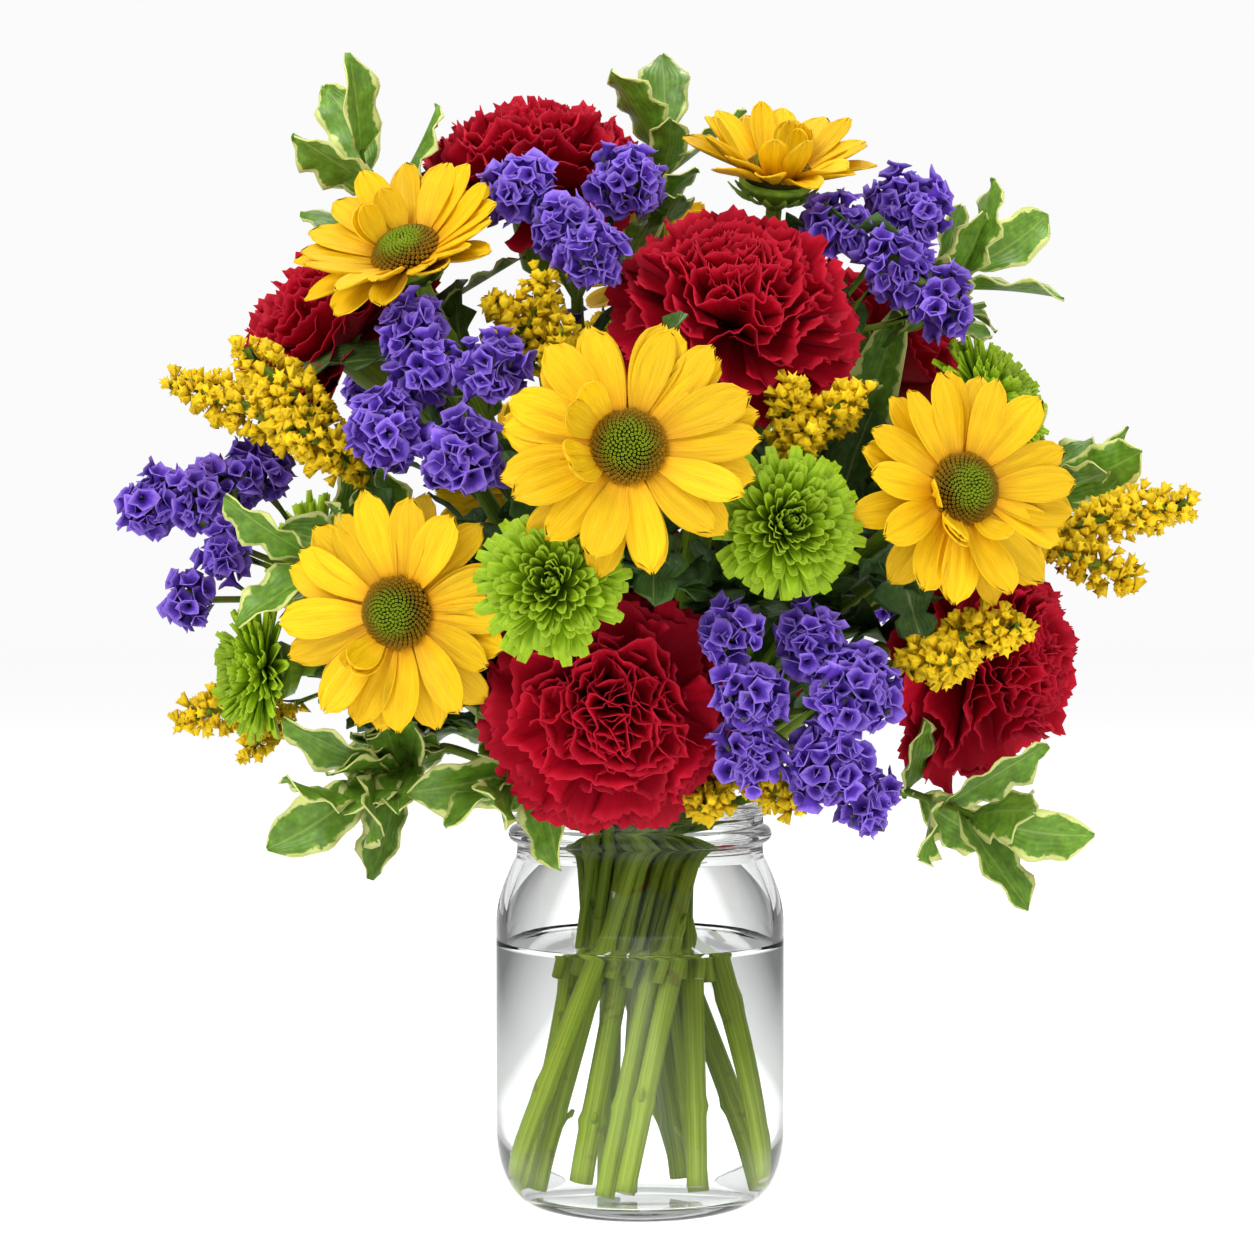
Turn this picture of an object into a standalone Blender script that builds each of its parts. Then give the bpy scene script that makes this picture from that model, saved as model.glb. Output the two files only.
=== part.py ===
"""A bouquet of cut chrysanthemums, carnations, statice, goldenrod and variegated
pittosporum, standing in a screw-top preserving jar of water.

The origin is the centre of the jar's foot, +Z is up and the bouquet faces -Y.
Every size and place below is in millimetres; meshes are made in metres.
"""

import math

import bmesh
import bpy
import numpy as np
from mathutils import Matrix, Vector

MM = 0.001

# ---------------------------------------------------------------- jar and water
JAR_DIAMETER = 82.5
JAR_HEIGHT = 114.0
GLASS_WALL = 3.0
GLASS_FLOOR = 5.0
FOOT_DIAMETER = 60.0
HEEL_HEIGHT = 21.0
SHOULDER_STEP = 5.9  # how far the neck stands in from the body
SHOULDER_HEIGHT = 20.0
NECK_HEIGHT = 15.0  # from the shoulder to the rim
BEAD_PROUD = 2.4
BEAD_BELOW_RIM = 9.0
THREAD_PROUD = 0.9
THREAD_PITCH = 3.6
THREAD_TURNS = 1.15
RIM_ROUND = 1.2
WATER_LEVEL = 73.5
JAR_SEGMENTS = 28

# ---------------------------------------------------------------- plant sizes
DAISY_DIAMETER = 66.0
DAISY_DISC_DIAMETER = 19.0
DAISY_RAYS = 12
PETAL_THICKNESS = 1.3
CARNATION_DIAMETER = 60.0
CARNATION_DEPTH = 25.0
CALYX_LENGTH = 24.0
CALYX_DIAMETER = 13.0
BUTTON_DIAMETER = 41.0
BUTTON_DEPTH = 17.0
LEAF_LENGTH = 30.0
LEAF_WIDTH = 12.5
LEAF_THICKNESS = 0.9

DAISY_STEM = 4.6
CARNATION_STEM = 5.0
BUTTON_STEM = 3.6
STATICE_STEM = 3.6
GOLDENROD_STEM = 2.6
SPRIG_STEM = 2.8
TWIG = 2.0

# ---------------------------------------------------------------- fits
TOUCH_GAP = 0.4  # between two pieces that meet
STEM_GAP = 1.4  # between two stems
HEAD_GAP = 1.8  # between two flower heads, as their stand-in spheres see it
WATER_GAP = 0.4  # between the water and what stands in it
FOOT_GAP = 1.0  # between a stem's cut end and the jar

# ---------------------------------------------------------------- how the stems stand
WAIST_HEIGHT = 77.0  # where the stems are closest together
SPIRAL = 0.019  # each millimetre below the waist turns and spreads the bunch by this
STEM_SIDES = 6
PATH_STEP = 5.0  # between the points at which a stem is bent clear of the others
STEM_TRUE = 0.35  # how far a stem's straight pieces may stray from its curve

# Places are from the centre of the jar's mouth: x to the right, y to the back, z up.
# They suit flowers of these diameters, and wider flowers spread the whole bouquet.
PLACED_DAISY, PLACED_CARNATION, PLACED_BUTTON = 66.0, 60.0, 41.0
# Facing is (degrees round from the front towards the right, degrees above level).

DAISIES = (  # place of the disc, facing, lift of the petals in degrees
    ((-3, -104, 95), (0, 8), 10),
    ((81, -66, 84), (22, 5), 14),
    ((-60, -75, 54), (-18, -4), 8),
    ((-58, -46, 148), (-25, 44), 26),
    ((38, -25, 175), (8, 62), 38),
    ((-34, 86, 92), (-160, 10), 14),
    ((2, 54, 158), (174, 50), 26),
)
CARNATIONS = (  # place of the calyx mouth, facing
    ((27, -50, 127), (12, 42)),
    ((-5, -60, 27), (0, -6)),
    ((-30, 2, 177), (-12, 68)),
    ((-88, -10, 127), (-70, 38)),
    ((88, -28, 32), (52, -6)),
    ((24, 72, 46), (168, 0)),
    ((68, 34, 124), (122, 36)),
)
BUTTONS = (
    ((-24, -82, 61), (-8, 4)),
    ((36, -76, 76), (12, 6)),
    ((-98, -26, 41), (-65, 0)),
    ((92, -24, 112), (60, 34)),
    ((-92, 40, 70), (-118, 10)),
    ((26, 84, 98), (164, 16)),
)
STATICE = (  # fork of the stem, then each flower cluster with its radius
    ((-14, -32, 138), ((-30, -46, 166, 9), (-17, -54, 154, 9), (0, -44, 169, 11), (-9, -63, 146, 9.5))),
    (
        (-42, -48, 92),
        (
            (-61, -60, 125, 9.5), (-58, -68, 112, 9), (-39, -80, 113, 9.5), (-66, -76, 98, 11),
            (-47, -86, 90, 10),
        ),
    ),
    (
        (-84, -18, 66),
        (
            (-134, -25, 89, 10), (-120, -27, 92, 10), (-106, -25, 98, 10), (-113, -31, 76, 8.5),
            (-123, -30, 62, 6.5),
        ),
    ),
    ((50, -14, 130), ((55, -30, 159, 9), (76, -18, 165, 11), (71, -34, 147, 10.5), (84, -36, 136, 9))),
    (
        (34, -52, 34),
        (
            (26, -86, 58, 8), (31, -88, 42, 9), (47, -80, 56, 9), (57, -84, 43, 12),
            (31, -82, 26, 8.5), (51, -80, 24, 11), (62, -72, 13, 7.5),
        ),
    ),
    ((-50, 46, 104), ((-66, 56, 134, 11), (-80, 46, 122, 10.5), (-62, 70, 120, 11), (-80, 64, 106, 10))),
    ((48, 50, 66), ((62, 76, 90, 11), (78, 62, 80, 11), (58, 88, 76, 10), (76, 74, 64, 10), (88, 54, 98, 9))),
)
GOLDENROD = (  # fork of the stem, then each plume's end with its thickest radius
    ((-25, -48, 118), ((-38, -62, 138, 5), (-25, -66, 145, 5), (-17, -68, 130, 5))),
    ((-66, -44, 84), ((-104, -54, 124, 7), (-92, -60, 104, 6), (-128, -14, 118, 6.5))),
    ((34, -58, 96), ((54, -74, 116, 5.5), (40, -80, 104, 5), (36, -76, 118, 5))),
    ((66, -56, 42), ((102, -72, 52, 6.5), (84, -84, 42, 6))),
    ((104, -22, 68), ((152, -14, 80, 6.5), (134, -26, 58, 6))),
    ((22, -46, 12), ((40, -68, 6, 5.5), (14, -72, 4, 5))),
    ((-98, -8, 32), ((-132, -12, 26, 5.5), (-112, -22, 16, 4.5))),
    ((0, 52, 122), ((-14, 74, 146, 6), (8, 80, 134, 6), (20, 62, 148, 5.5))),
)
SPRIGS = (  # tip of the stem, facing at the tip, number of leaves, turn of the first leaf
    ((-78, -14, 178), (-60, 62), 6, 20),
    ((2, 8, 192), (10, 84), 5, 80),
    ((94, -4, 152), (75, 40), 7, 0),
    ((124, 2, 92), (92, 22), 6, 40),
    ((98, -48, 8), (52, -14), 7, 10),
    ((-80, -42, 8), (-44, -20), 7, 70),
    ((-34, -50, 6), (-32, -22), 5, 30),
    ((-88, -46, 70), (-50, 4), 5, 110),
    ((-52, 60, 36), (-140, 6), 7, 55),
)
# Where each kind's stems are cut, above the jar's foot.
DAISY_CUT, CARNATION_CUT = 7.0, 9.0
BUTTON_CUT, STATICE_CUT = 66.0, 63.0
GOLDENROD_CUT, SPRIG_CUT = 67.0, 65.0

GREEN = (0.16, 0.30, 0.04)
COLOURS = {  # base colour, roughness
    "glass": ((0.85, 0.90, 0.88), 0.05),
    "water": ((0.75, 0.84, 0.82), 0.05),
    "yellow": ((0.90, 0.58, 0.01), 0.55),
    "red": ((0.50, 0.003, 0.012), 0.60),
    "lime": ((0.30, 0.50, 0.02), 0.55),
    "stem": (GREEN, 0.55),
    "violet": ((0.16, 0.06, 0.48), 0.65),
    "gold": ((0.75, 0.50, 0.01), 0.65),
    "leaf": ((0.12, 0.25, 0.03), 0.45),
}


# ================================================================ scene helpers
def clear_scene():
    for item in list(bpy.data.objects):
        bpy.data.objects.remove(item)


def material(name):
    found = bpy.data.materials.get(name)
    if found:
        return found
    colour, roughness = COLOURS[name]
    made = bpy.data.materials.new(name)
    made.use_nodes = True
    shader = made.node_tree.nodes["Principled BSDF"]
    shader.inputs["Base Color"].default_value = (*colour, 1)
    shader.inputs["Roughness"].default_value = roughness
    shader.inputs["Metallic"].default_value = 0
    return made


def add_object(name, bm, finish, helper=False):
    """Makes bm, in millimetres, an object in metres. A helper is never rendered."""
    bmesh.ops.recalc_face_normals(bm, faces=bm.faces)
    bmesh.ops.scale(bm, vec=(MM, MM, MM), verts=bm.verts)
    mesh = bpy.data.meshes.new(name)
    bm.to_mesh(mesh)
    bm.free()
    mesh.materials.append(material(finish))
    mesh.shade_smooth()
    item = bpy.data.objects.new(name, mesh)
    bpy.context.scene.collection.objects.link(item)
    if helper:
        item.hide_render = True
        item.display_type = "WIRE"
    return item


def fuse(name, pieces, finish):
    """One solid of several bmesh pieces that overlap, by Boolean unions."""
    body = add_object(name, pieces[0], finish)
    for number, piece in enumerate(pieces[1:]):
        other = add_object(f"{name}_piece_{number}", piece, finish, helper=True)
        join = body.modifiers.new(f"join_{number}", "BOOLEAN")
        join.operation = "UNION"
        join.solver = "EXACT"
        join.object = other
    return body


# ================================================================ directions
def facing_vector(facing):
    turn, rise = (math.radians(a) for a in facing)
    return Vector((math.sin(turn) * math.cos(rise), -math.cos(turn) * math.cos(rise), math.sin(rise)))


def spread():
    """How far the heads stand out against their tables, as the flowers' sizes ask."""
    daisies, carnations = DAISY_DIAMETER / PLACED_DAISY, CARNATION_DIAMETER / PLACED_CARNATION
    return (daisies + carnations + BUTTON_DIAMETER / PLACED_BUTTON) / 3


def from_mouth(place):
    return Vector(place) * spread() + Vector((0, 0, JAR_HEIGHT))


def along(axis):
    """Rotation that takes +Z to the axis."""
    return axis.to_track_quat("Z", "Y").to_matrix()


# ================================================================ bmesh shapes
def bridge(bm, rings):
    """Closes a stack of equal rings of vertices into one skin with two caps."""
    for low, high in zip(rings, rings[1:]):
        for k in range(len(low)):
            after = (k + 1) % len(low)
            bm.faces.new((low[k], low[after], high[after], high[k]))
    bm.faces.new(rings[0])
    bm.faces.new(rings[-1])


def turned(profile, segments, flutes=0, depth=0.0):
    """A solid turned about Z from (radius, height) points, with its rings waved by flutes."""
    bm = bmesh.new()
    rings = []
    for radius, height in profile:
        ring = []
        for k in range(segments):
            angle = 2 * math.pi * k / segments
            out = radius * (1 + depth * math.cos(flutes * angle))
            ring.append(bm.verts.new((out * math.cos(angle), out * math.sin(angle), height)))
        rings.append(ring)
    bridge(bm, rings)
    return bm


def tube(path, radii, sides=STEM_SIDES):
    """A round tube through the points of path, with its own radius at each."""
    bm = bmesh.new()
    rings = []
    across = None
    for k, point in enumerate(path):
        before, after = path[max(k - 1, 0)], path[min(k + 1, len(path) - 1)]
        ahead = (after - before).normalized()
        if across is None:
            across = ahead.orthogonal().normalized()
        across = (across - ahead * across.dot(ahead)).normalized()
        beside = ahead.cross(across)
        ring = []
        for n in range(sides):
            angle = 2 * math.pi * n / sides
            out = math.cos(angle) * across + math.sin(angle) * beside
            ring.append(bm.verts.new(point + radii[k] * out))
        rings.append(ring)
    bridge(bm, rings)
    return bm


def placed(bm, centre, axis):
    """Turns bm's +Z to the axis and moves its origin to the centre."""
    bmesh.ops.transform(bm, matrix=Matrix.Translation(centre) @ along(axis).to_4x4(), verts=bm.verts)
    return bm


def arc(centre, radii, start, end, steps):
    """Points on an ellipse's arc, angles in degrees from +r towards +z."""
    angles = (math.radians(start + (end - start) * k / steps) for k in range(steps + 1))
    return [(centre[0] + radii[0] * math.cos(a), centre[1] + radii[1] * math.sin(a)) for a in angles]


# ================================================================ jar
def jar_sizes():
    body = JAR_DIAMETER / 2
    return {
        "body": body,
        "neck": body - SHOULDER_STEP,
        "shoulder": JAR_HEIGHT - NECK_HEIGHT - SHOULDER_HEIGHT,
        "neck_foot": JAR_HEIGHT - NECK_HEIGHT,
        "inside": body - GLASS_WALL,
        "mouth": body - SHOULDER_STEP - GLASS_WALL,
    }


def inside_radius(height):
    """The jar's inner radius at a height."""
    s = jar_sizes()
    foot = FOOT_DIAMETER / 2 - GLASS_WALL / 2
    if height < HEEL_HEIGHT:
        up = (height - GLASS_FLOOR) / (HEEL_HEIGHT - GLASS_FLOOR)
        return foot + (s["inside"] - foot) * math.sqrt(max(0, 1 - (1 - up) ** 2))
    if height < s["shoulder"]:
        return s["inside"]
    up = min(1, (height - s["shoulder"]) / SHOULDER_HEIGHT)
    return s["inside"] - SHOULDER_STEP * (1 - math.cos(up * math.pi / 2))


def inside_profile(top, inset=0.0, steps=4):
    """(radius, height) from the jar's floor up its inner wall to the top, moved in by inset."""
    s = jar_sizes()
    heel = [GLASS_FLOOR + (HEEL_HEIGHT - GLASS_FLOOR) * (k / steps) ** 2 for k in range(steps)]
    shoulder = [s["shoulder"] + SHOULDER_HEIGHT * k / steps for k in range(steps + 1)]
    heights = [z for z in [*heel, HEEL_HEIGHT, *shoulder] if z < top] + [top]
    return [(inside_radius(z) - inset, z + (inset if z == GLASS_FLOOR else 0)) for z in heights]


def make_jar():
    s = jar_sizes()
    foot = FOOT_DIAMETER / 2
    bead = JAR_HEIGHT - BEAD_BELOW_RIM
    heel = arc((foot, HEEL_HEIGHT), (s["body"] - foot, HEEL_HEIGHT), -90, 0, 4)
    shoulder = []
    for k in range(5):
        inward = SHOULDER_STEP * (1 - math.cos(k / 4 * math.pi / 2))
        shoulder.append((s["body"] - inward, s["shoulder"] + SHOULDER_HEIGHT * k / 4))
    ring = arc((s["neck"], bead), (BEAD_PROUD, BEAD_PROUD), -80, 80, 4)
    rim = arc((s["neck"] - RIM_ROUND, JAR_HEIGHT - RIM_ROUND), (RIM_ROUND, RIM_ROUND), 0, 90, 2)
    lip = [(s["mouth"] + RIM_ROUND / 2, JAR_HEIGHT), (s["mouth"], JAR_HEIGHT - RIM_ROUND / 2)]
    inner = [p for p in reversed(inside_profile(s["neck_foot"]))]
    glass = turned([*heel, *shoulder, *ring, *rim, *lip, *inner], JAR_SEGMENTS)
    start = bead + BEAD_PROUD + 0.9
    steps = int(JAR_SEGMENTS * THREAD_TURNS / 1.8)
    path, radii = [], []
    for k in range(steps + 1):
        turn = THREAD_TURNS * k / steps
        angle = 2 * math.pi * turn
        height = start + 0.55 * THREAD_PITCH * turn
        path.append(Vector((s["neck"] * math.cos(angle), s["neck"] * math.sin(angle), height)))
        radii.append(THREAD_PROUD * min(1, 0.25 + 6 * min(turn, THREAD_TURNS - turn)))
    return fuse("jar", [glass, tube(path, radii, 4)], "glass")


def make_water(stems):
    profile = inside_profile(WATER_LEVEL, WATER_GAP)
    body = add_object("water", turned(profile, JAR_SEGMENTS), "water")
    for name, (path, radii) in stems.items():
        cut_end = path[0] - (path[1] - path[0]).normalized() * WATER_GAP
        wet = [cut_end, *path[1:]]
        if cut_end.z > WATER_LEVEL:
            continue
        sleeve = add_object(f"{name}_sleeve", tube(wet, [r + WATER_GAP for r in radii]), "water", helper=True)
        cut = body.modifiers.new(name, "BOOLEAN")
        cut.operation = "DIFFERENCE"
        cut.solver = "EXACT"
        cut.object = sleeve
    return body


# ================================================================ flower solids
def daisy_receptacle():
    """Radius at each distance from the petals' plane, up the stem's own line."""
    disc = DAISY_DISC_DIAMETER / 2
    under = -PETAL_THICKNESS / 2 - TOUCH_GAP
    return (
        (-9, DAISY_STEM / 2), (-6, 0.62 * disc), (under - 1, 1.1 * disc), (under, 1.1 * disc),
        (under + 0.1, disc), (4.0, disc), (6.0, 0.7 * disc), (6.8, 0.25 * disc),
    )


def carnation_calyx():
    wide = CALYX_DIAMETER / 2
    return (
        (-CALYX_LENGTH, CARNATION_STEM / 2), (-0.93 * CALYX_LENGTH, 0.75 * wide),
        (-0.4 * CALYX_LENGTH, wide), (-TOUCH_GAP, 0.95 * wide),
    )


def button_bracts():
    wide = 0.22 * BUTTON_DIAMETER
    return ((-5.5, BUTTON_STEM / 2), (-3.0, 0.75 * wide), (0.12 * BUTTON_DEPTH, wide))


def daisy_petals(lift):
    """A ring of joined rays round the receptacle's waist, lifted into a shallow cup."""
    inner = (DAISY_DISC_DIAMETER / 2 + TOUCH_GAP) / math.cos(math.pi / DAISY_RAYS / 2)
    reach = DAISY_DIAMETER / 2
    slope = math.radians(lift)
    bm = bmesh.new()
    steps = 2 * DAISY_RAYS
    layers = []
    for side in (-0.5, 0.5):
        for share, dip in ((0, 0), (1, 0.28)):
            ring = []
            for k in range(steps):
                angle = 2 * math.pi * k / steps
                out = (reach - inner) * share * (1 - dip * (k % 2))
                radius = inner + out * math.cos(slope)
                rise = out * math.sin(slope) - 0.05 * reach * share * share
                height = rise + side * PETAL_THICKNESS
                ring.append(bm.verts.new((radius * math.cos(angle), radius * math.sin(angle), height)))
            layers.append(ring)
    low, high = layers[:2], layers[2:]
    stack = [*low, *reversed(high), low[0]]
    for a, b in zip(stack, stack[1:]):
        for k in range(steps):
            after = (k + 1) % steps
            bm.faces.new((a[k], a[after], b[after], b[k]))
    return bm


def carnation_head():
    r, d = CARNATION_DIAMETER / 2, CARNATION_DEPTH
    shape = ((0.22, 0), (0.66, 0.10), (1, 0.40), (0.86, 0.74), (0.56, 0.94), (0.2, 1))
    return turned([(r * out, d * up) for out, up in shape], 16, 8, 0.05)


def button_head():
    r, d = BUTTON_DIAMETER / 2, BUTTON_DEPTH
    shape = ((0.5, 0), (0.95, 0.12), (0.98, 0.4), (0.76, 0.8), (0.3, 0.97))
    return turned([(r * out, d * up) for out, up in shape], 16, 8, 0.05)


def leaf_blade(base, ahead, up, length, width):
    """A flat pointed leaf, as a thin plate whose stalk starts at the base."""
    side = ahead.cross(up).normalized()
    up = side.cross(ahead).normalized()
    outline = ((0, 0.09), (0.24, 0.16), (0.58, 0.5), (1, 0.06))
    edge = [(t, w) for t, w in outline] + [(t, -w) for t, w in reversed(outline)]
    bm = bmesh.new()
    rings = []
    for face in (-0.5, 0.5):
        level = base + up * LEAF_THICKNESS * face
        rings.append([bm.verts.new(level + ahead * length * t + side * width * w) for t, w in edge])
    bridge(bm, rings)
    return bm


# ================================================================ the arrangement
# Where stand-in spheres lie on a leaf: share of its length, then share of its width.
LEAF_OUTLINE_SPHERES = ((0.22, 0.12), (0.37, 0.33), (0.52, 0.44), (0.67, 0.47), (0.82, 0.34), (0.96, 0.1))
LEAF_SPHERE = 1.5


def sprig_leaves(sprig):
    """(base, direction, upper side, length, width) of each leaf, from the sprig's tip down."""
    tip, facing, count, turn = sprig
    tip, axis = from_mouth(tip), facing_vector(facing)
    frame = along(axis)
    leaves = []
    for k in range(count):
        below = k / max(count - 1, 1)
        angle = math.radians(turn + 137.5 * k)
        open_by = math.radians(28 + 46 * below)
        out = frame @ Vector((math.cos(angle), math.sin(angle), 0))
        ahead = (axis * math.cos(open_by) + out * math.sin(open_by)).normalized()
        up = (axis * math.sin(open_by) - out * math.cos(open_by)).normalized()
        base = tip - axis * (1 + 26 * below)
        size = 0.72 + 0.38 * math.sin(math.pi * min(1, 0.25 + below * 0.6))
        leaves.append((base, ahead, up, LEAF_LENGTH * size, LEAF_WIDTH * size))
    return leaves


def petal_spheres(axis, diameter, lift):
    """Stand-in spheres for a ring of petals, from its centre."""
    frame, reach = along(axis), diameter / 2
    found = [(Vector((0, 0, 0)), 0.3 * reach)]
    for share, count, size in ((0.42, 10, 0.12), (0.64, 16, 0.11), (0.86, 22, 0.10), (0.97, 24, 0.08)):
        for k in range(count):
            angle = 2 * math.pi * k / count
            flat = share * reach * math.cos(math.radians(lift))
            rise = share * reach * math.sin(math.radians(lift))
            out = Vector((flat * math.cos(angle), flat * math.sin(angle), rise))
            found.append((frame @ out, size * reach))
    return found


def dome_spheres(axis, diameter, depth):
    """Stand-in spheres for a domed head, from the middle of its underside."""
    frame, reach = along(axis), diameter / 2
    found = [(axis * depth * 0.45, depth * 0.55)]
    for share, height, count, size in ((0.45, 0.52, 6, 0.42), (0.76, 0.40, 12, 0.27)):
        for k in range(count):
            angle = 2 * math.pi * k / count
            out = Vector((share * reach * math.cos(angle), share * reach * math.sin(angle), height * depth))
            found.append((frame @ out, size * reach))
    return found


class Group:
    """A rigid part of the bouquet: its place, and the spheres that stand in for its shape."""

    def __init__(self, name, place, spheres):
        self.name = name
        self.place = Vector(place)
        self.spheres = spheres  # (offset from the place, radius)


def plume_points(start, end, count=6):
    """Points along a plume that arches up and over from its fork."""
    rise = Vector((0, 0, 0.12 * (end - start).length))
    middle = (start + end) / 2 + rise
    points = []
    for k in range(count + 1):
        t = k / count
        points.append(start * (1 - t) ** 2 + middle * 2 * t * (1 - t) + end * t * t)
    return points


def plume_radius(t, thickest):
    """A plume is a bare twig up to a third of its length, then swells and tapers."""
    if t < 0.3:
        return TWIG / 2
    return max(TWIG / 2, thickest * math.sin(math.pi * min(1, (t - 0.22) / 0.82)) ** 0.6)


def rim_group():
    """The jar's finish, which the stems and heads keep clear of and which never moves."""
    neck = jar_sizes()["neck"] - GLASS_WALL / 2 + BEAD_PROUD / 3
    spheres = []
    for below in (2.6, 6.4, 10.2):
        for k in range(72):
            angle = 2 * math.pi * k / 72
            spot = Vector((neck * math.cos(angle), neck * math.sin(angle), JAR_HEIGHT - below))
            spheres.append((spot, 2.6))
    return Group("rim", (0, 0, 0), spheres)


def groups_of_heads():
    found = [rim_group()]
    for number, (place, facing, lift) in enumerate(DAISIES, 1):
        spheres = petal_spheres(facing_vector(facing), DAISY_DIAMETER, lift)
        found.append(Group(f"daisy_{number}", from_mouth(place), spheres))
    for number, (place, facing) in enumerate(CARNATIONS, 1):
        axis = facing_vector(facing)
        calyx = [(-axis * CALYX_LENGTH * t, CALYX_DIAMETER / 2 + 1) for t in (0.25, 0.6, 0.95)]
        neck = CARNATION_STEM / 2 + TOUCH_GAP
        calyx += [(-axis * (CALYX_LENGTH + t * CARNATION_STEM), neck) for t in (1, 2)]
        spheres = dome_spheres(axis, CARNATION_DIAMETER, CARNATION_DEPTH)
        found.append(Group(f"carnation_{number}", from_mouth(place), spheres + calyx))
    for number, (place, facing) in enumerate(BUTTONS, 1):
        spheres = dome_spheres(facing_vector(facing), BUTTON_DIAMETER, BUTTON_DEPTH)
        found.append(Group(f"button_mum_{number}", from_mouth(place), spheres))
    for number, (fork, clusters) in enumerate(STATICE, 1):
        fork = from_mouth(fork)
        spheres = [(from_mouth(c[:3]) - fork, c[3] + 0.5) for c in clusters]
        for centre, _ in list(spheres):
            spheres += [(centre * t, TWIG) for t in (0.25, 0.5, 0.75)]
        found.append(Group(f"statice_{number}", fork, spheres))
    for number, (fork, plumes) in enumerate(GOLDENROD, 1):
        fork = from_mouth(fork)
        spheres = []
        for x, y, z, thick in plumes:
            points = plume_points(fork, from_mouth((x, y, z)), 12)
            spheres += [(p - fork, plume_radius(k / 12, thick) + 0.3) for k, p in enumerate(points)]
        found.append(Group(f"goldenrod_{number}", fork, spheres))
    for number, sprig in enumerate(SPRIGS, 1):
        tip, axis = from_mouth(sprig[0]), facing_vector(sprig[1])
        spheres = [(-axis * t, SPRIG_STEM / 2 + 0.5) for t in (0, 4, 8, 12, 16, 20, 24, 28)]
        for base, ahead, up, length, width in sprig_leaves(sprig):
            side = ahead.cross(up) * width
            for t, wide in LEAF_OUTLINE_SPHERES:
                middle = base - tip + ahead * length * t
                spheres += [(middle + side * wide * s, LEAF_SPHERE) for s in (-0.95, -0.45, 0, 0.45, 0.95)]
        found.append(Group(f"sprig_{number}", tip, spheres))
    return found


def settle(groups, rounds=600):
    """Moves whole heads apart, a little at a time, until their stand-ins are clear of each other."""
    owner = np.array([g for g, group in enumerate(groups) for _ in group.spheres])
    offset = np.array([s[0] for group in groups for s in group.spheres])
    radius = np.array([s[1] for group in groups for s in group.spheres])
    place = np.array([group.place for group in groups])
    for turn in range(rounds):
        if turn % 15 == 0:
            points = place[owner] + offset
            a, b = close_pairs(points, radius + HEAD_GAP / 2, points, radius + HEAD_GAP / 2, 5.0)
            ours = owner[a] < owner[b]
            first, second = a[ours], b[ours]
        gap = (place[owner[first]] + offset[first]) - (place[owner[second]] + offset[second])
        distance = np.linalg.norm(gap, axis=1)
        need = radius[first] + radius[second] + HEAD_GAP
        close = distance < need
        if not close.any():
            if turn % 15 == 0:
                break
            continue
        a, b, gap, distance, need = (v[close] for v in (first, second, gap, distance, need))
        push = gap / np.maximum(distance, 1e-6)[:, None] * (need - distance)[:, None] / 2
        for g in range(1, len(groups)):
            ours = np.concatenate([push[owner[a] == g], -push[owner[b] == g]])
            if len(ours):
                worst = ours[np.argmax(np.linalg.norm(ours, axis=1))]
                place[g] += 0.4 * (worst + ours.mean(axis=0))
    for group, spot in zip(groups, place):
        group.place = Vector(spot)
    return groups


def close_pairs(points, sizes, others, other_sizes, margin):
    """Which of the points and the others are within the margin of touching."""
    found = []
    for start in range(0, len(points), 200):
        block = slice(start, start + 200)
        distance = np.linalg.norm(points[block, None] - others[None], axis=2)
        a, b = np.nonzero(distance < sizes[block, None] + other_sizes[None] + margin)
        found.append((a + start, b))
    return np.concatenate([a for a, _ in found]), np.concatenate([b for _, b in found])


# ================================================================ stems
class Stem:
    """A cut stem from its foot in the jar to the head that it carries."""

    def __init__(self, name, top, arrive, diameter, cut, profile):
        self.name = name
        self.top = Vector(top)  # where its profile's zero lies
        self.arrive = Vector(arrive)  # its direction there
        self.radius = diameter / 2
        self.cut = cut
        self.profile = profile  # (distance from the top, radius) of the swelling under the head

    def shoulder(self):
        """Where the plain stem ends and the swelling starts."""
        return self.top + self.arrive * self.profile[0][0]


def spiral_at(spot, height):
    """Where a stem that passes the waist at the spot is, at another height in the jar."""
    turn = SPIRAL * (WAIST_HEIGHT - height)
    return Vector((spot[0] + turn * spot[1], spot[1] - turn * spot[0], height))


def foot_of(stem, spot):
    """The middle of the stem's cut end, which stays clear of the jar's wall."""
    foot = spiral_at(spot, stem.cut)
    leaning = 1.35 * stem.radius  # half the width of the slanted end
    room = inside_radius(stem.cut) - leaning - FOOT_GAP
    inward = min(1, room / math.hypot(foot.x, foot.y))
    return Vector((foot.x * inward, foot.y * inward, foot.z))


def waist_spots(stems, rounds=400):
    """Where each stem passes the waist: on the side of its head, low heads furthest out."""
    spots = []
    radius = np.array([stem.radius for stem in stems])
    bundle = 0.9 * math.sqrt((radius + STEM_GAP / 2).dot(radius + STEM_GAP / 2) / 0.7)
    for number, stem in enumerate(stems):
        across = Vector((stem.top.x, stem.top.y))
        low = math.atan2(across.length, stem.top.z - JAR_HEIGHT + 25) / (math.pi / 2)
        lead = math.atan(SPIRAL * (JAR_HEIGHT - WAIST_HEIGHT))
        angle = math.atan2(across.y, across.x) - lead
        reach = bundle * low + 0.01 * number
        spots.append((reach * math.cos(angle), reach * math.sin(angle)))
    spots = np.array(spots)
    need = radius[:, None] + radius[None, :] + STEM_GAP
    np.fill_diagonal(need, 0)
    for _ in range(rounds):
        gap = spots[:, None] - spots[None]
        distance = np.linalg.norm(gap, axis=2) + 1e-9
        lack = np.maximum(0, need - distance)
        spots = spots + (0.3 * lack / distance)[:, :, None].__mul__(gap).sum(axis=1) - 0.002 * spots
        if lack.max() < 0.02:
            break
    return [tuple(spot) for spot in spots]


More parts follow.
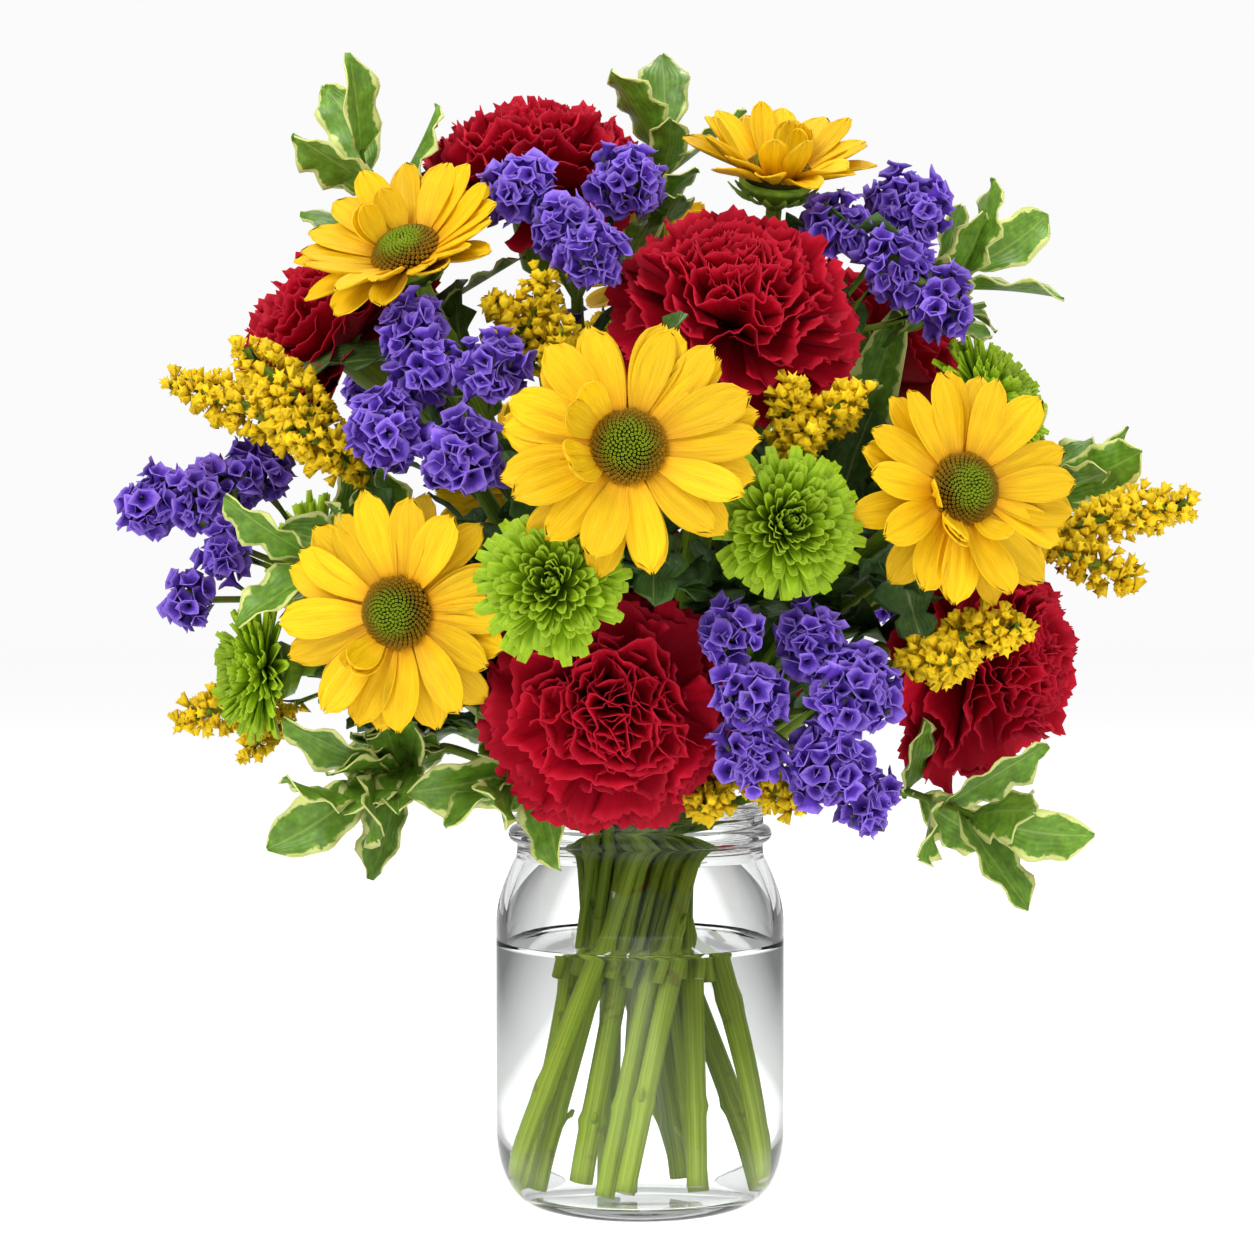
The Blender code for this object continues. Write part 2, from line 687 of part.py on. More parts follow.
def rough_path(stem, spot):
    """Straight down the spiral in the jar, then one smooth curve to the head."""
    exit_height = JAR_HEIGHT - 8
    foot = foot_of(stem, spot)
    leave = spiral_at(spot, exit_height)
    rising = (leave - foot).normalized()
    end = stem.shoulder()
    reach = (end - leave).length
    bend = (leave, leave + rising * 0.38 * reach, end - stem.arrive * 0.42 * reach, end)
    upper = []
    count = max(6, round(reach / PATH_STEP))
    for k in range(count + 1):
        t = k / count
        weights = ((1 - t) ** 3, 3 * t * (1 - t) ** 2, 3 * t * t * (1 - t), t**3)
        upper.append(sum((w * p for w, p in zip(weights, bend)), Vector()))
    return foot, upper


def clear_paths(stems, groups, spots, rounds=260):
    """Bends the stems above the jar round each other and round the heads of the others."""
    paths = [rough_path(stem, spot) for stem, spot in zip(stems, spots)]
    owner = np.array([s for s, (_, upper) in enumerate(paths) for _ in upper])
    points = np.array([p for _, upper in paths for p in upper])
    last = np.cumsum([len(upper) for _, upper in paths]) - 1
    first = np.concatenate([[0], last[:-1] + 1])
    fixed = np.zeros(len(points), bool)
    fixed[first], fixed[last], fixed[np.minimum(first + 1, last)], fixed[last - 1] = True, True, True, True
    radius = np.array([stems[s].radius for s in owner])
    solid = np.array([group.place + offset for group in groups for offset, _ in group.spheres])
    solid_radius = np.array([size for group in groups for _, size in group.spheres])
    solid_owner = np.array([group.name for group in groups for _ in group.spheres])
    stem_name = np.array([stems[s].name for s in owner])
    for turn in range(rounds):
        if turn % 10 == 0:
            a, b = close_pairs(points, radius, points, radius, STEM_GAP + 8.0)
            free = owner[a] != owner[b]
            c, d = close_pairs(points, radius, solid, solid_radius, STEM_GAP + 8.0)
            foreign = stem_name[c] != solid_owner[d]
            among = (a[free], b[free])
            round_heads = (c[foreign], d[foreign])
        moved = np.zeros_like(points)
        for (ours, theirs), targets, sizes, share in (
            (among, points, radius, 0.5),
            (round_heads, solid, solid_radius, 0.9),
        ):
            gap = points[ours] - targets[theirs]
            distance = np.linalg.norm(gap, axis=1) + 1e-9
            lack = np.maximum(0, radius[ours] + sizes[theirs] + STEM_GAP - distance)
            np.add.at(moved, ours, (share * lack / distance)[:, None] * gap)
        length = np.linalg.norm(moved, axis=1, keepdims=True)
        moved *= np.minimum(1, 2.5 / np.maximum(length, 1e-9))
        moved[fixed] = 0
        points = points + moved
        smooth = points.copy()
        smooth[1:-1] = 0.25 * points[:-2] + 0.5 * points[1:-1] + 0.25 * points[2:]
        keep = fixed | (length[:, 0] > 0.2)
        points = np.where(keep[:, None], points, 0.6 * points + 0.4 * smooth)
    found = {}
    for s, (foot, _) in enumerate(paths):
        path = straightened([foot, *(Vector(p) for p in points[first[s] : last[s] + 1])])
        found[stems[s].name] = (path, [stems[s].radius] * len(path))
    return found


def straightened(path):
    """Leaves out the points that lie within STEM_TRUE of a straight line between the others."""
    start, end = path[0], path[-1]
    chord = (end - start).normalized()
    stray = [(p - start - chord * (p - start).dot(chord)).length for p in path]
    worst = max(range(len(path)), key=lambda k: stray[k])
    if stray[worst] < STEM_TRUE or len(path) < 3:
        return [start, end]
    return straightened(path[: worst + 1])[:-1] + straightened(path[worst:])


def with_swelling(stem, path, radii):
    """Adds the receptacle, calyx or bracts to the end of a plain stem."""
    for distance, radius in stem.profile[1:]:
        path = [*path, stem.top + stem.arrive * distance]
        radii = [*radii, radius]
    return path, radii


# ================================================================ assembly
def stems_of(groups):
    at = {group.name: group.place for group in groups}
    found = []
    for number, (_, facing, _) in enumerate(DAISIES, 1):
        name = f"daisy_{number}"
        arrive = facing_vector(facing)
        found.append(Stem(name, at[name], arrive, DAISY_STEM, DAISY_CUT, daisy_receptacle()))
    for number, (_, facing) in enumerate(CARNATIONS, 1):
        name = f"carnation_{number}"
        arrive = facing_vector(facing)
        found.append(Stem(name, at[name], arrive, CARNATION_STEM, CARNATION_CUT, carnation_calyx()))
    for number, (_, facing) in enumerate(BUTTONS, 1):
        name = f"button_mum_{number}"
        arrive = facing_vector(facing)
        found.append(Stem(name, at[name], arrive, BUTTON_STEM, BUTTON_CUT, button_bracts()))
    for kind, table, diameter, cut in (
        ("statice", STATICE, STATICE_STEM, STATICE_CUT),
        ("goldenrod", GOLDENROD, GOLDENROD_STEM, GOLDENROD_CUT),
    ):
        for number, (fork, ends) in enumerate(table, 1):
            name = f"{kind}_{number}"
            middle = sum((Vector(end[:3]) for end in ends), Vector()) / len(ends)
            arrive = (middle - Vector(fork)).normalized()
            found.append(Stem(name, at[name], arrive, diameter, cut, ((0, diameter / 2),)))
    for number, sprig in enumerate(SPRIGS, 1):
        name = f"sprig_{number}"
        arrive, taper = facing_vector(sprig[1]), ((-28, SPRIG_STEM / 2), (0, TWIG / 2))
        found.append(Stem(name, at[name], arrive, SPRIG_STEM, SPRIG_CUT, taper))
    return found


def make_flowers(stems, paths, groups):
    at = {group.name: group.place for group in groups}
    for stem in stems[: len(DAISIES) + len(CARNATIONS)]:
        add_object(f"{stem.name}_stem", tube(*with_swelling(stem, *paths[stem.name])), "stem")
    for number, (_, facing, lift) in enumerate(DAISIES, 1):
        name = f"daisy_{number}"
        add_object(f"{name}_petals", placed(daisy_petals(lift), at[name], facing_vector(facing)), "yellow")
    for number, (_, facing) in enumerate(CARNATIONS, 1):
        name = f"carnation_{number}"
        add_object(f"{name}_petals", placed(carnation_head(), at[name], facing_vector(facing)), "red")
    for stem, (_, facing) in zip(stems[len(DAISIES) + len(CARNATIONS) :], BUTTONS):
        head = placed(button_head(), at[stem.name], facing_vector(facing))
        fuse(stem.name, [head, tube(*with_swelling(stem, *paths[stem.name]))], "lime")


def make_statice(paths, groups):
    at = {group.name: group.place for group in groups}
    for number, (fork, clusters) in enumerate(STATICE, 1):
        name = f"statice_{number}"
        path, radii = paths[name]
        pieces = [tube(path, radii)]
        for x, y, z, size in clusters:
            centre = at[name] + from_mouth((x, y, z)) - from_mouth(fork)
            outward = (centre - at[name]).normalized()
            start = at[name] - stem_end(path) * 1.2
            sag = (start + centre) / 2 - Vector((0, 0, 1.5))
            pieces.append(tube([start, sag, centre], [TWIG / 2] * 3, 5))
            ball = bmesh.new()
            bmesh.ops.create_icosphere(ball, subdivisions=1, radius=size)
            bmesh.ops.scale(ball, vec=(1, 1, 0.85), verts=ball.verts)
            pieces.append(placed(ball, centre, outward))
        fuse(name, pieces, "violet")


def stem_end(path):
    """The stem's direction at its top."""
    return (path[-1] - path[-2]).normalized()


def make_goldenrod(paths, groups):
    at = {group.name: group.place for group in groups}
    for number, (fork, plumes) in enumerate(GOLDENROD, 1):
        name = f"goldenrod_{number}"
        path, radii = paths[name]
        pieces = [tube(path, radii, 6)]
        for x, y, z, thick in plumes:
            start = at[name] - stem_end(path)
            end = at[name] + from_mouth((x, y, z)) - from_mouth(fork)
            points = plume_points(start, end, 6)
            pieces.append(tube(points, [plume_radius(k / 6, thick) for k in range(7)], 5))
        fuse(name, pieces, "gold")


def make_sprigs(stems, paths, groups):
    at = {group.name: group.place for group in groups}
    table = {stem.name: stem for stem in stems}
    for number, sprig in enumerate(SPRIGS, 1):
        name = f"sprig_{number}"
        moved = at[name] - from_mouth(sprig[0])
        pieces = [tube(*with_swelling(table[name], *paths[name]), 6)]
        for base, ahead, up, length, width in sprig_leaves(sprig):
            pieces.append(leaf_blade(base + moved, ahead, up, length, width))
        fuse(name, pieces, "leaf")


def main():
    clear_scene()
    groups = settle(groups_of_heads())
    stems = stems_of(groups)
    paths = clear_paths(stems, groups, waist_spots(stems))
    make_jar()
    make_water(paths)
    make_flowers(stems, paths, groups)
    make_statice(paths, groups)
    make_goldenrod(paths, groups)
    make_sprigs(stems, paths, groups)


main()
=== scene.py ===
"""The looks of a mixed bouquet standing in a jar of water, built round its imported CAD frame.

Laid out as an add-on and run as a script. All sizes are in metres unless a name says otherwise.
"""

import math
from collections import namedtuple

import bpy
import numpy as np
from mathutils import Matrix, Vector
from mathutils.bvhtree import BVHTree


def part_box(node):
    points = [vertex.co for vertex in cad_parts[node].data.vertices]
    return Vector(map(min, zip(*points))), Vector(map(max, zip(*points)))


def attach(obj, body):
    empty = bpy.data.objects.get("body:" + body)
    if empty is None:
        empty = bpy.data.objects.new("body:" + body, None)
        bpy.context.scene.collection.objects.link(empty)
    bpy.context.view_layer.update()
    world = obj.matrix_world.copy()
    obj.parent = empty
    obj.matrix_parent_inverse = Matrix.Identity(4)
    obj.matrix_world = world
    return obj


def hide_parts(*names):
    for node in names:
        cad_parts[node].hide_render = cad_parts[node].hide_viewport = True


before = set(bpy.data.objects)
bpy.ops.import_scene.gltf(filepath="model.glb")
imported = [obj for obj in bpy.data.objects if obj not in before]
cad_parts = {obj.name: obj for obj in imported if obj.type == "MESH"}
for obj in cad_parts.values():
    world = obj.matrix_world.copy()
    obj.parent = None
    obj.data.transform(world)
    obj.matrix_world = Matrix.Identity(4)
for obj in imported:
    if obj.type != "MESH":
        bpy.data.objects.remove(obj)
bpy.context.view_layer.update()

bl_info = {
    "name": "Bouquet in a jar",
    "version": (1, 0, 0),
    "blender": (4, 5, 0),
    "location": "3D View > Sidebar > Bouquet",
    "description": "Builds the flowers, leaves, jar, water and stage of a mixed bouquet",
    "category": "Object",
}

MM = 0.001
GOLDEN_ANGLE = math.pi * (3 - math.sqrt(5))
UP = np.array([0.0, 0.0, 1.0])
MERGE = 1e-5  # corners nearer than this are one point
NEIGHBOURS = [(x, y, z) for x in (-1, 0, 1) for y in (-1, 0, 1) for z in (-1, 0, 1)]
DARK_GREEN = (0.055, 0.13, 0.02)
LOWEST_TIP, LOWEST_LEAF = 112 * MM, 116 * MM  # loose leaves stay over the jar
SMALLEST_LEAF, NARROWEST_LEAF = 70 * MM * MM, 5.5 * MM  # a smaller flat face is not a leaf


# ================================================================ reading the frame
def names(start, end=""):
    """CAD nodes whose names have that start and end, in order."""
    return sorted(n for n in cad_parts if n.startswith(start) and n.endswith(end))


def numbers(kind):
    """1 to the count of the heads of that kind."""
    return range(1, len(names(kind, "_petals")) + 1)


def skin(node):
    """(points, triangles) of a CAD node, with its loose triangles' corners merged."""
    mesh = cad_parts[node].data
    mesh.calc_loop_triangles()
    points = np.empty(len(mesh.vertices) * 3, np.float32)
    mesh.vertices.foreach_get("co", points)
    corners = np.empty(len(mesh.loop_triangles) * 3, np.int32)
    mesh.loop_triangles.foreach_get("vertices", corners)
    keys, which = np.unique(np.round(points.reshape(-1, 3) / MERGE), axis=0, return_inverse=True)
    triangles = which.reshape(-1)[corners].reshape(-1, 3)
    whole = (triangles[:, 0] != triangles[:, 1]) & (triangles[:, 1] != triangles[:, 2])
    whole &= triangles[:, 0] != triangles[:, 2]
    return keys * MERGE, triangles[whole]


def unit(v):
    """Vectors made one long, along the last axis."""
    return v / np.maximum(np.linalg.norm(v, axis=-1, keepdims=True), 1e-12)


def rings_of(node, cap_reach=5.3 * MM):
    """(centres, radii) of the rings of a CAD stem, from its cut end until it branches."""
    points, triangles = skin(node)
    near = [set() for _ in points]
    for a, b, c in triangles:
        near[a] |= {b, c}
        near[b] |= {a, c}
        near[c] |= {a, b}
    lowest = points[np.argmin(points[:, 2])]
    layer = set(np.flatnonzero(np.linalg.norm(points - lowest, axis=1) < cap_reach))
    sides = len(layer)
    seen, centres, radii = set(layer), [], []
    while len(layer) == sides:
        ring = points[sorted(layer)]
        centres.append(ring.mean(axis=0))
        radii.append(np.linalg.norm(ring - centres[-1], axis=1).mean())
        layer = set().union(*(near[p] for p in layer)) - seen
        seen |= layer
    return np.array(centres), np.array(radii)


class Head:
    """Where a flower head sits: the middle of its base, its axis and its outer radius."""

    def __init__(self, centre, axis, radius, rings):
        self.centre, self.axis, self.radius, self.rings = centre, unit(axis), radius, rings
        self.across = unit(np.cross(self.axis, UP + 0.01))
        self.beside = np.cross(self.axis, self.across)

    def frame(self):
        """Columns are the head's own x, y and z."""
        return np.stack([self.across, self.beside, self.axis], axis=1)

    def lift_of(self, points):
        """How steeply the outer edge stands above the middle, in radians."""
        local = (points - self.centre) @ self.frame()
        out = np.linalg.norm(local[:, :2], axis=1)
        edge, middle = out > 0.8 * out.max(), out < 1.3 * out.min()
        rise = local[edge, 2].mean() - local[middle, 2].mean()
        return math.atan2(rise, out[edge].mean() - out[middle].mean())


def reach_of(points, centre, axis):
    """How far the farthest point stands from the axis."""
    return np.linalg.norm(np.cross(points - centre, axis), axis=1).max()


def daisy_head(number):
    """The petals' plane and the disc's axis, with the lift of the petals."""
    centres, radii = rings_of(f"daisy_{number}_stem")
    axis = unit(centres[-1] - centres[-3])
    disc_top = 6.8 * MM  # above the petals' plane
    petals, _ = skin(f"daisy_{number}_petals")
    centre = centres[-1] - axis * disc_top
    head = Head(centre, axis, reach_of(petals, centre, axis), (centres, radii))
    head.lift = head.lift_of(petals) + 0.06
    return head


def carnation_head(number):
    """The top of the calyx and the axis it points along."""
    centres, radii = rings_of(f"carnation_{number}_stem")
    axis = unit(centres[-1] - centres[-2])
    petals, _ = skin(f"carnation_{number}_petals")
    return Head(centres[-1], axis, reach_of(petals, centres[-1], axis), (centres, radii))


def button_head(node):
    """The top of the stem, inside the dome of petals."""
    centres, radii = rings_of(node)
    axis = unit(centres[-1] - centres[-2])
    points, _ = skin(node)
    past = (points - centres[-1]) @ axis > 0
    reach = reach_of(points[past], centres[-1], axis)
    return Head(centres[-1] + axis * 3 * MM, axis, reach, (centres, radii))


# ================================================================ building meshes
class Sculpt:
    """Gathers patches of quads and triangles into one piece, with a UV map and a tone."""

    def __init__(self):
        self.points, self.quads, self.tris, self.uv, self.tone = [], [], [], [], []
        self.count = 0

    def add(self, points, faces, uv, tone=0.5, finish=0):
        """Adds copies: points is (copies, n, 3), faces (m, 3 or 4), uv (n, 2) or (copies, n, 2)."""
        points = np.asarray(points, float)
        if points.ndim == 2:
            points = points[None]
        copies, n = points.shape[:2]
        steps = self.count + np.arange(copies) * n
        faces = (np.asarray(faces)[None] + steps[:, None, None]).reshape(-1, np.shape(faces)[1])
        (self.quads if faces.shape[1] == 4 else self.tris).append((faces, finish))
        self.points.append(points.reshape(-1, 3))
        self.uv.append(np.broadcast_to(uv, (copies, n, 2)).reshape(-1, 2))
        tone = np.asarray(tone, float)
        if tone.ndim == 1:
            tone = tone[:, None]
        self.tone.append(np.broadcast_to(tone, (copies, n)).reshape(-1))
        self.count += copies * n

    def object(self, name, materials):
        points = np.concatenate(self.points)
        uv, tone = np.concatenate(self.uv), np.concatenate(self.tone)
        groups = self.quads + self.tris
        corners = np.concatenate([faces.reshape(-1) for faces, _ in groups])
        sizes = np.concatenate([np.full(len(faces), faces.shape[1]) for faces, _ in groups])
        finish = np.concatenate([np.full(len(faces), slot) for faces, slot in groups])
        mesh = bpy.data.meshes.new(name)
        mesh.vertices.add(len(points))
        mesh.vertices.foreach_set("co", points.astype(np.float32).ravel())
        mesh.loops.add(len(corners))
        mesh.loops.foreach_set("vertex_index", corners.astype(np.int32))
        mesh.polygons.add(len(sizes))
        starts = np.concatenate([[0], np.cumsum(sizes)[:-1]])
        mesh.polygons.foreach_set("loop_start", starts.astype(np.int32))
        mesh.polygons.foreach_set("material_index", finish.astype(np.int32))
        mesh.update(calc_edges=True)
        mesh.validate()
        layer = mesh.uv_layers.new(name="UVMap")
        layer.data.foreach_set("uv", uv[corners].astype(np.float32).ravel())
        layer = mesh.attributes.new("tone", "FLOAT", "POINT")
        layer.data.foreach_set("value", tone.astype(np.float32))
        for item in materials:
            mesh.materials.append(item)
        mesh.shade_smooth()
        item = bpy.data.objects.new(name, mesh)
        bpy.context.scene.collection.objects.link(item)
        return item


def grid_patch(across, along):
    """(u from -1 to 1, v from 0 to 1, quads) of a grid primitive."""
    bpy.ops.object.select_all(action="DESELECT")
    bpy.ops.mesh.primitive_grid_add(x_subdivisions=across, y_subdivisions=along, size=2)
    grid = bpy.context.object
    uv = np.array([v.co[:2] for v in grid.data.vertices])
    quads = np.array([p.vertices[:] for p in grid.data.polygons])
    bpy.data.meshes.remove(grid.data)
    return uv[:, 0], (uv[:, 1] + 1) / 2, quads


def two_sided(points, faces, thickness):
    """Closes sheets (copies, n, 3) into thin shells: (points, faces) with rims."""
    n = points.shape[1]
    a, b, c, d = (points[:, faces[:, k]] for k in range(4))
    flat = np.cross(c - a, d - b)
    normals = np.zeros_like(points)
    for k in range(4):
        np.add.at(normals, (slice(None), faces[:, k]), flat)
    normals = unit(normals)
    shell = np.concatenate([points + normals * thickness / 2, points - normals * thickness / 2], axis=1)
    edges = np.concatenate([faces[:, [k, (k + 1) % 4]] for k in range(4)])
    pairs, counts = np.unique(np.sort(edges, axis=1), axis=0, return_counts=True)
    lone = {tuple(p) for p in pairs[counts == 1]}
    rim = np.array([(b, a, a + n, b + n) for a, b in edges if (min(a, b), max(a, b)) in lone])
    return shell, np.concatenate([faces, faces[:, ::-1] + n, rim])


def sheets(sculpt, points, faces, uv, thickness, tone, finish=0):
    """Adds copies of a sheet (copies, n, 3) as thin closed shells."""
    shell, skin_faces = two_sided(points, faces, thickness)
    uv = np.asarray(uv)
    both = np.concatenate([uv, uv], axis=-2)
    sculpt.add(shell, skin_faces, both, tone, finish)


def mixed(knots, i, j, a, b, t):
    """a at knot i and b at knot j, mixed at t."""
    return (knots[j] - t) / (knots[j] - knots[i]) * a + (t - knots[i]) / (knots[j] - knots[i]) * b


def smooth_path(points, radii, step):
    """Points every step along a curve through the points, with the radii between them."""
    points = np.asarray(points, float)
    padded = np.concatenate([[2 * points[0] - points[1]], points, [2 * points[-1] - points[-2]]])
    out, sizes = [], []
    for k in range(len(points) - 1):
        four = padded[k : k + 4]
        knots = np.cumsum([0, *(max(np.linalg.norm(b - a), 1e-9) ** 0.5 for a, b in zip(four, four[1:]))])
        count = max(1, round(np.linalg.norm(four[2] - four[1]) / step))
        for t in (np.arange(count) / count)[:, None]:
            t = knots[1] + t * (knots[2] - knots[1])
            first = [mixed(knots, i, i + 1, four[i], four[i + 1], t) for i in range(3)]
            second = [mixed(knots, i, i + 2, first[i], first[i + 1], t) for i in range(2)]
            out.append(mixed(knots, 1, 2, *second, t))
            share = float(t[0] - knots[1]) / (knots[2] - knots[1])
            sizes.append(radii[k] * (1 - share) + radii[k + 1] * share)
    return np.array([*out, points[-1]]), np.array([*sizes, radii[-1]])


def tube(sculpt, points, radii, sides, tone=0.5, finish=0, ribs=0.0):
    """A closed tube with ribs along it. Its UV runs round in u and in metres x 20 in v."""
    points, radii = np.asarray(points, float), np.asarray(radii, float)
    ahead = unit(np.gradient(points, axis=0))
    across = np.zeros_like(points)
    across[0] = unit(np.cross(ahead[0], [0.3, 1, 0.2]))
    for k in range(1, len(points)):
        across[k] = unit(across[k - 1] - ahead[k] * (across[k - 1] @ ahead[k]))
    beside = np.cross(ahead, across)
    angle = 2 * np.pi * np.arange(sides) / sides
    out = radii[:, None] * (1 + ribs * np.cos(5 * angle))[None]
    rings = points[:, None] + out[..., None] * (
        np.cos(angle)[None, :, None] * across[:, None] + np.sin(angle)[None, :, None] * beside[:, None]
    )
    n = len(points)
    length = np.concatenate([[0], np.cumsum(np.linalg.norm(np.diff(points, axis=0), axis=1))])
    uv = np.stack(np.broadcast_arrays(angle[None] / (2 * np.pi), length[:, None] * 20), axis=-1)
    start = sculpt.count
    sculpt.add(rings.reshape(-1, 3), ring_faces(n, sides), uv.reshape(-1, 2), tone, finish)
    for end, ring in ((0, 0), (n - 1, (n - 1) * sides)):
        around = start + ring + np.arange(sides)
        fan = np.stack([np.full(sides, sculpt.count), around, np.roll(around, -1)], axis=1) - sculpt.count
        if end == 0:
            fan = fan[:, ::-1]
        cap = sculpt.count
        sculpt.points.append(points[end][None])
        sculpt.uv.append(np.array([[0.5, length[end] * 20]]))
        sculpt.tone.append(np.array([2.0 if end == 0 else 0.5]))
        sculpt.tris.append((fan + cap, finish))
        sculpt.count += 1


def piece(sculpt, name, materials):
    """The finished piece rides on the only body and stands for the CAD node of its name."""
    item = sculpt.object(f"{name}_fine", materials)
    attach(item, "root")
    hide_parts(name)
    return item


# ================================================================ materials
def shader_of(name, **values):
    """A new material with its tree and shader; values name the sockets, _ for a space."""
    made = bpy.data.materials.new(name)
    made.use_nodes = True
    tree = made.node_tree
    shader = tree.nodes["Principled BSDF"]
    for socket, value in values.items():
        shader.inputs[socket.replace("_", " ")].default_value = value
    return made, tree, shader


def node(tree, kind, links=None, **settings):
    """A shader node; links maps its input to a socket or a value."""
    made = tree.nodes.new(f"ShaderNode{kind}")
    for key, value in settings.items():
        setattr(made, key, value)
    for key, value in (links or {}).items():
        if isinstance(value, bpy.types.NodeSocket):
            tree.links.new(value, made.inputs[key])
        else:
            made.inputs[key].default_value = value
    return made


def ramp(tree, factor, stops):
    """Colours that run between (place, colour) stops."""
    made = node(tree, "ValToRGB", {"Fac": factor})
    band = made.color_ramp
    while len(band.elements) < len(stops):
        band.elements.new(0.5)
    for element, (place, colour) in zip(band.elements, stops):
        element.position = place
        element.color = (*colour, 1)
    return made.outputs["Color"]


def grey_ramp(tree, factor, stops):
    """A value that runs between (place, value) stops."""
    return ramp(tree, factor, [(place, (value,) * 3) for place, value in stops])


def noise(tree, vector, scale, detail=3.0):
    """Soft random patches, with scale to the metre on Object coordinates."""
    return node(tree, "TexNoise", {"Vector": vector, "Scale": scale, "Detail": detail}).outputs["Fac"]


def blend_colours(tree, factor, first, second, how="MIX"):
    """Mixes two colours, each a socket or a plain colour."""
    made = node(tree, "Mix", data_type="RGBA", blend_type=how)
    for key, value in (("Factor", factor), ("A", first), ("B", second)):
        socket = next(s for s in made.inputs if s.name == key and s.enabled)
        if isinstance(value, bpy.types.NodeSocket):
            tree.links.new(value, socket)
        else:
            socket.default_value = value if key == "Factor" else (*value, 1)
    return next(s for s in made.outputs if s.enabled)


def maths(tree, operation, first, second=0.0):
    """One sum of two sockets or numbers."""
    return node(tree, "Math", {0: first, 1: second}, operation=operation).outputs[0]


def along_piece(tree):
    """(u, v, object position, tone) sockets of a piece."""
    uv = node(tree, "UVMap", uv_map="UVMap").outputs["UV"]
    split = node(tree, "SeparateXYZ", {"Vector": uv})
    where = node(tree, "TexCoord").outputs["Object"]
    tone = node(tree, "Attribute", attribute_name="tone").outputs["Fac"]
    return split.outputs["X"], split.outputs["Y"], where, tone


def bumpy(tree, shader, height, distance, strength=0.5):
    """Gives the shader a fine relief."""
    bump = node(tree, "Bump", {"Height": height, "Distance": distance, "Strength": strength})
    tree.links.new(bump.outputs["Normal"], shader.inputs["Normal"])


def petal_material(name, stops, veins, tones, roughness, shine=0.3):
    """Colour runs from the petal's base to its tip, with fine veins along it that are darkened partly as
    painted shade in their furrows.
    """
    made, tree, shader = shader_of(name, Roughness=roughness, Specular_IOR_Level=shine)
    u, v, _, tone = along_piece(tree)
    base = ramp(tree, v, stops)
    stretched = node(tree, "CombineXYZ", {"X": maths(tree, "MULTIPLY", u, veins), "Y": v, "Z": tone})
    vein = noise(tree, stretched.outputs["Vector"], 3.0, 2.0)
    # streak darkens the colour along the veins: partly real veining, partly painted shade in the furrows that
    # the bump raises
    streak = grey_ramp(tree, vein, ((0.3, 0.66), (0.65, 1.0)))
    shade = grey_ramp(tree, tone, ((0, tones[0]), (1, tones[1])))
    colour = blend_colours(tree, 0.6, base, streak, "MULTIPLY")
    colour = blend_colours(tree, 1.0, colour, shade, "MULTIPLY")
    tree.links.new(colour, shader.inputs["Base Color"])
    bumpy(tree, shader, vein, 0.25 * MM, 0.45)
    return made


def yellow_petals(s):
    """Daisy petals: golden, more orange at the foot, and darkest right by the disc as painted shade."""
    c = s.yellow
    # warm is the petals' own orange; deep at the very foot is that orange darkened as painted shade beside
    # the disc
    deep, warm = (c[0] * 0.62, c[1] * 0.34, c[2]), (c[0] * 0.93, c[1] * 0.76, c[2])
    stops = ((0, deep), (0.16, warm), (0.42, c[:]), (1, c[:]))
    return petal_material("yellow_petals", stops, 9.0, (0.78, 1.03), 0.55, 0.2)


def crimson_petals(s):
    """Carnation petals: dark at the foot as painted shade deep in the head, with a slightly lighter edge."""
    c = s.crimson
    # dark is painted shade where the petals' feet sit deep in the ruffled head
    dark, rim = (c[0] * 0.35, c[1], c[2] * 0.6), (min(1, c[0] * 1.2), 0.008, 0.03)
    stops = ((0, dark), (0.6, c[:]), (0.95, c[:]), (1, rim))
    return petal_material("crimson_petals", stops, 14.0, (0.7, 1.08), 0.7, 0.12)


def lime_petals(s):
    """Button petals: dark in the middle of the dome and pale at the tips."""
    c = s.lime
    dark, pale = (c[0] * 0.25, c[1] * 0.42, c[2] * 0.5), (c[0] * 1.35, c[1] * 1.15, c[2])
    return petal_material("lime_petals", ((0, dark), (0.45, c[:]), (1, pale)), 4.0, (0.45, 1.1), 0.5)


def violet_petals(s):
    """Statice florets: green at the foot, with a pale papery rim."""
    c = s.violet
    deep, pale = (c[0] * 0.7, c[1] * 0.6, c[2] * 0.7), (c[0] * 3.0, c[1] * 4.6, min(1, c[2] * 1.8))
    stops = ((0, (0.10, 0.14, 0.03)), (0.3, deep), (0.8, c[:]), (1, pale))
    return petal_material("violet_petals", stops, 10.0, (0.72, 1.15), 0.7, 0.15)


def gold_florets(s):
    """Goldenrod florets: yellow stars on a green foot."""
    c = s.gold
    stops = ((0, (0.22, 0.30, 0.02)), (0.22, c[:]), (1, (min(1, c[0] * 1.05), c[1] * 1.08, c[2])))
    return petal_material("gold_florets", stops, 3.0, (0.88, 1.06), 0.6, 0.2)


def disc_florets():
    """Green in the middle of the disc and brown towards its edge, with painted shade in the gaps between
    florets and in their throats.
    """
    made, tree, shader = shader_of("disc_florets", Roughness=0.7, Specular_IOR_Level=0.1)
    _, v, _, tone = along_piece(tree)
    lime, olive = (0.21, 0.31, 0.012), (0.19, 0.24, 0.009)
    brown, rust = (0.17, 0.105, 0.006), (0.30, 0.15, 0.004)
    zone = ramp(tree, tone, ((0, lime), (0.5, olive), (0.74, brown), (1, rust)))
    # painted shade: near black where v is low, at each floret's foot and throat and on the cushion below them
    pit_shade = grey_ramp(tree, v, ((0, 0.05), (0.75, 1.0)))
    tree.links.new(blend_colours(tree, 0.95, zone, pit_shade, "MULTIPLY"), shader.inputs["Base Color"])
    return made


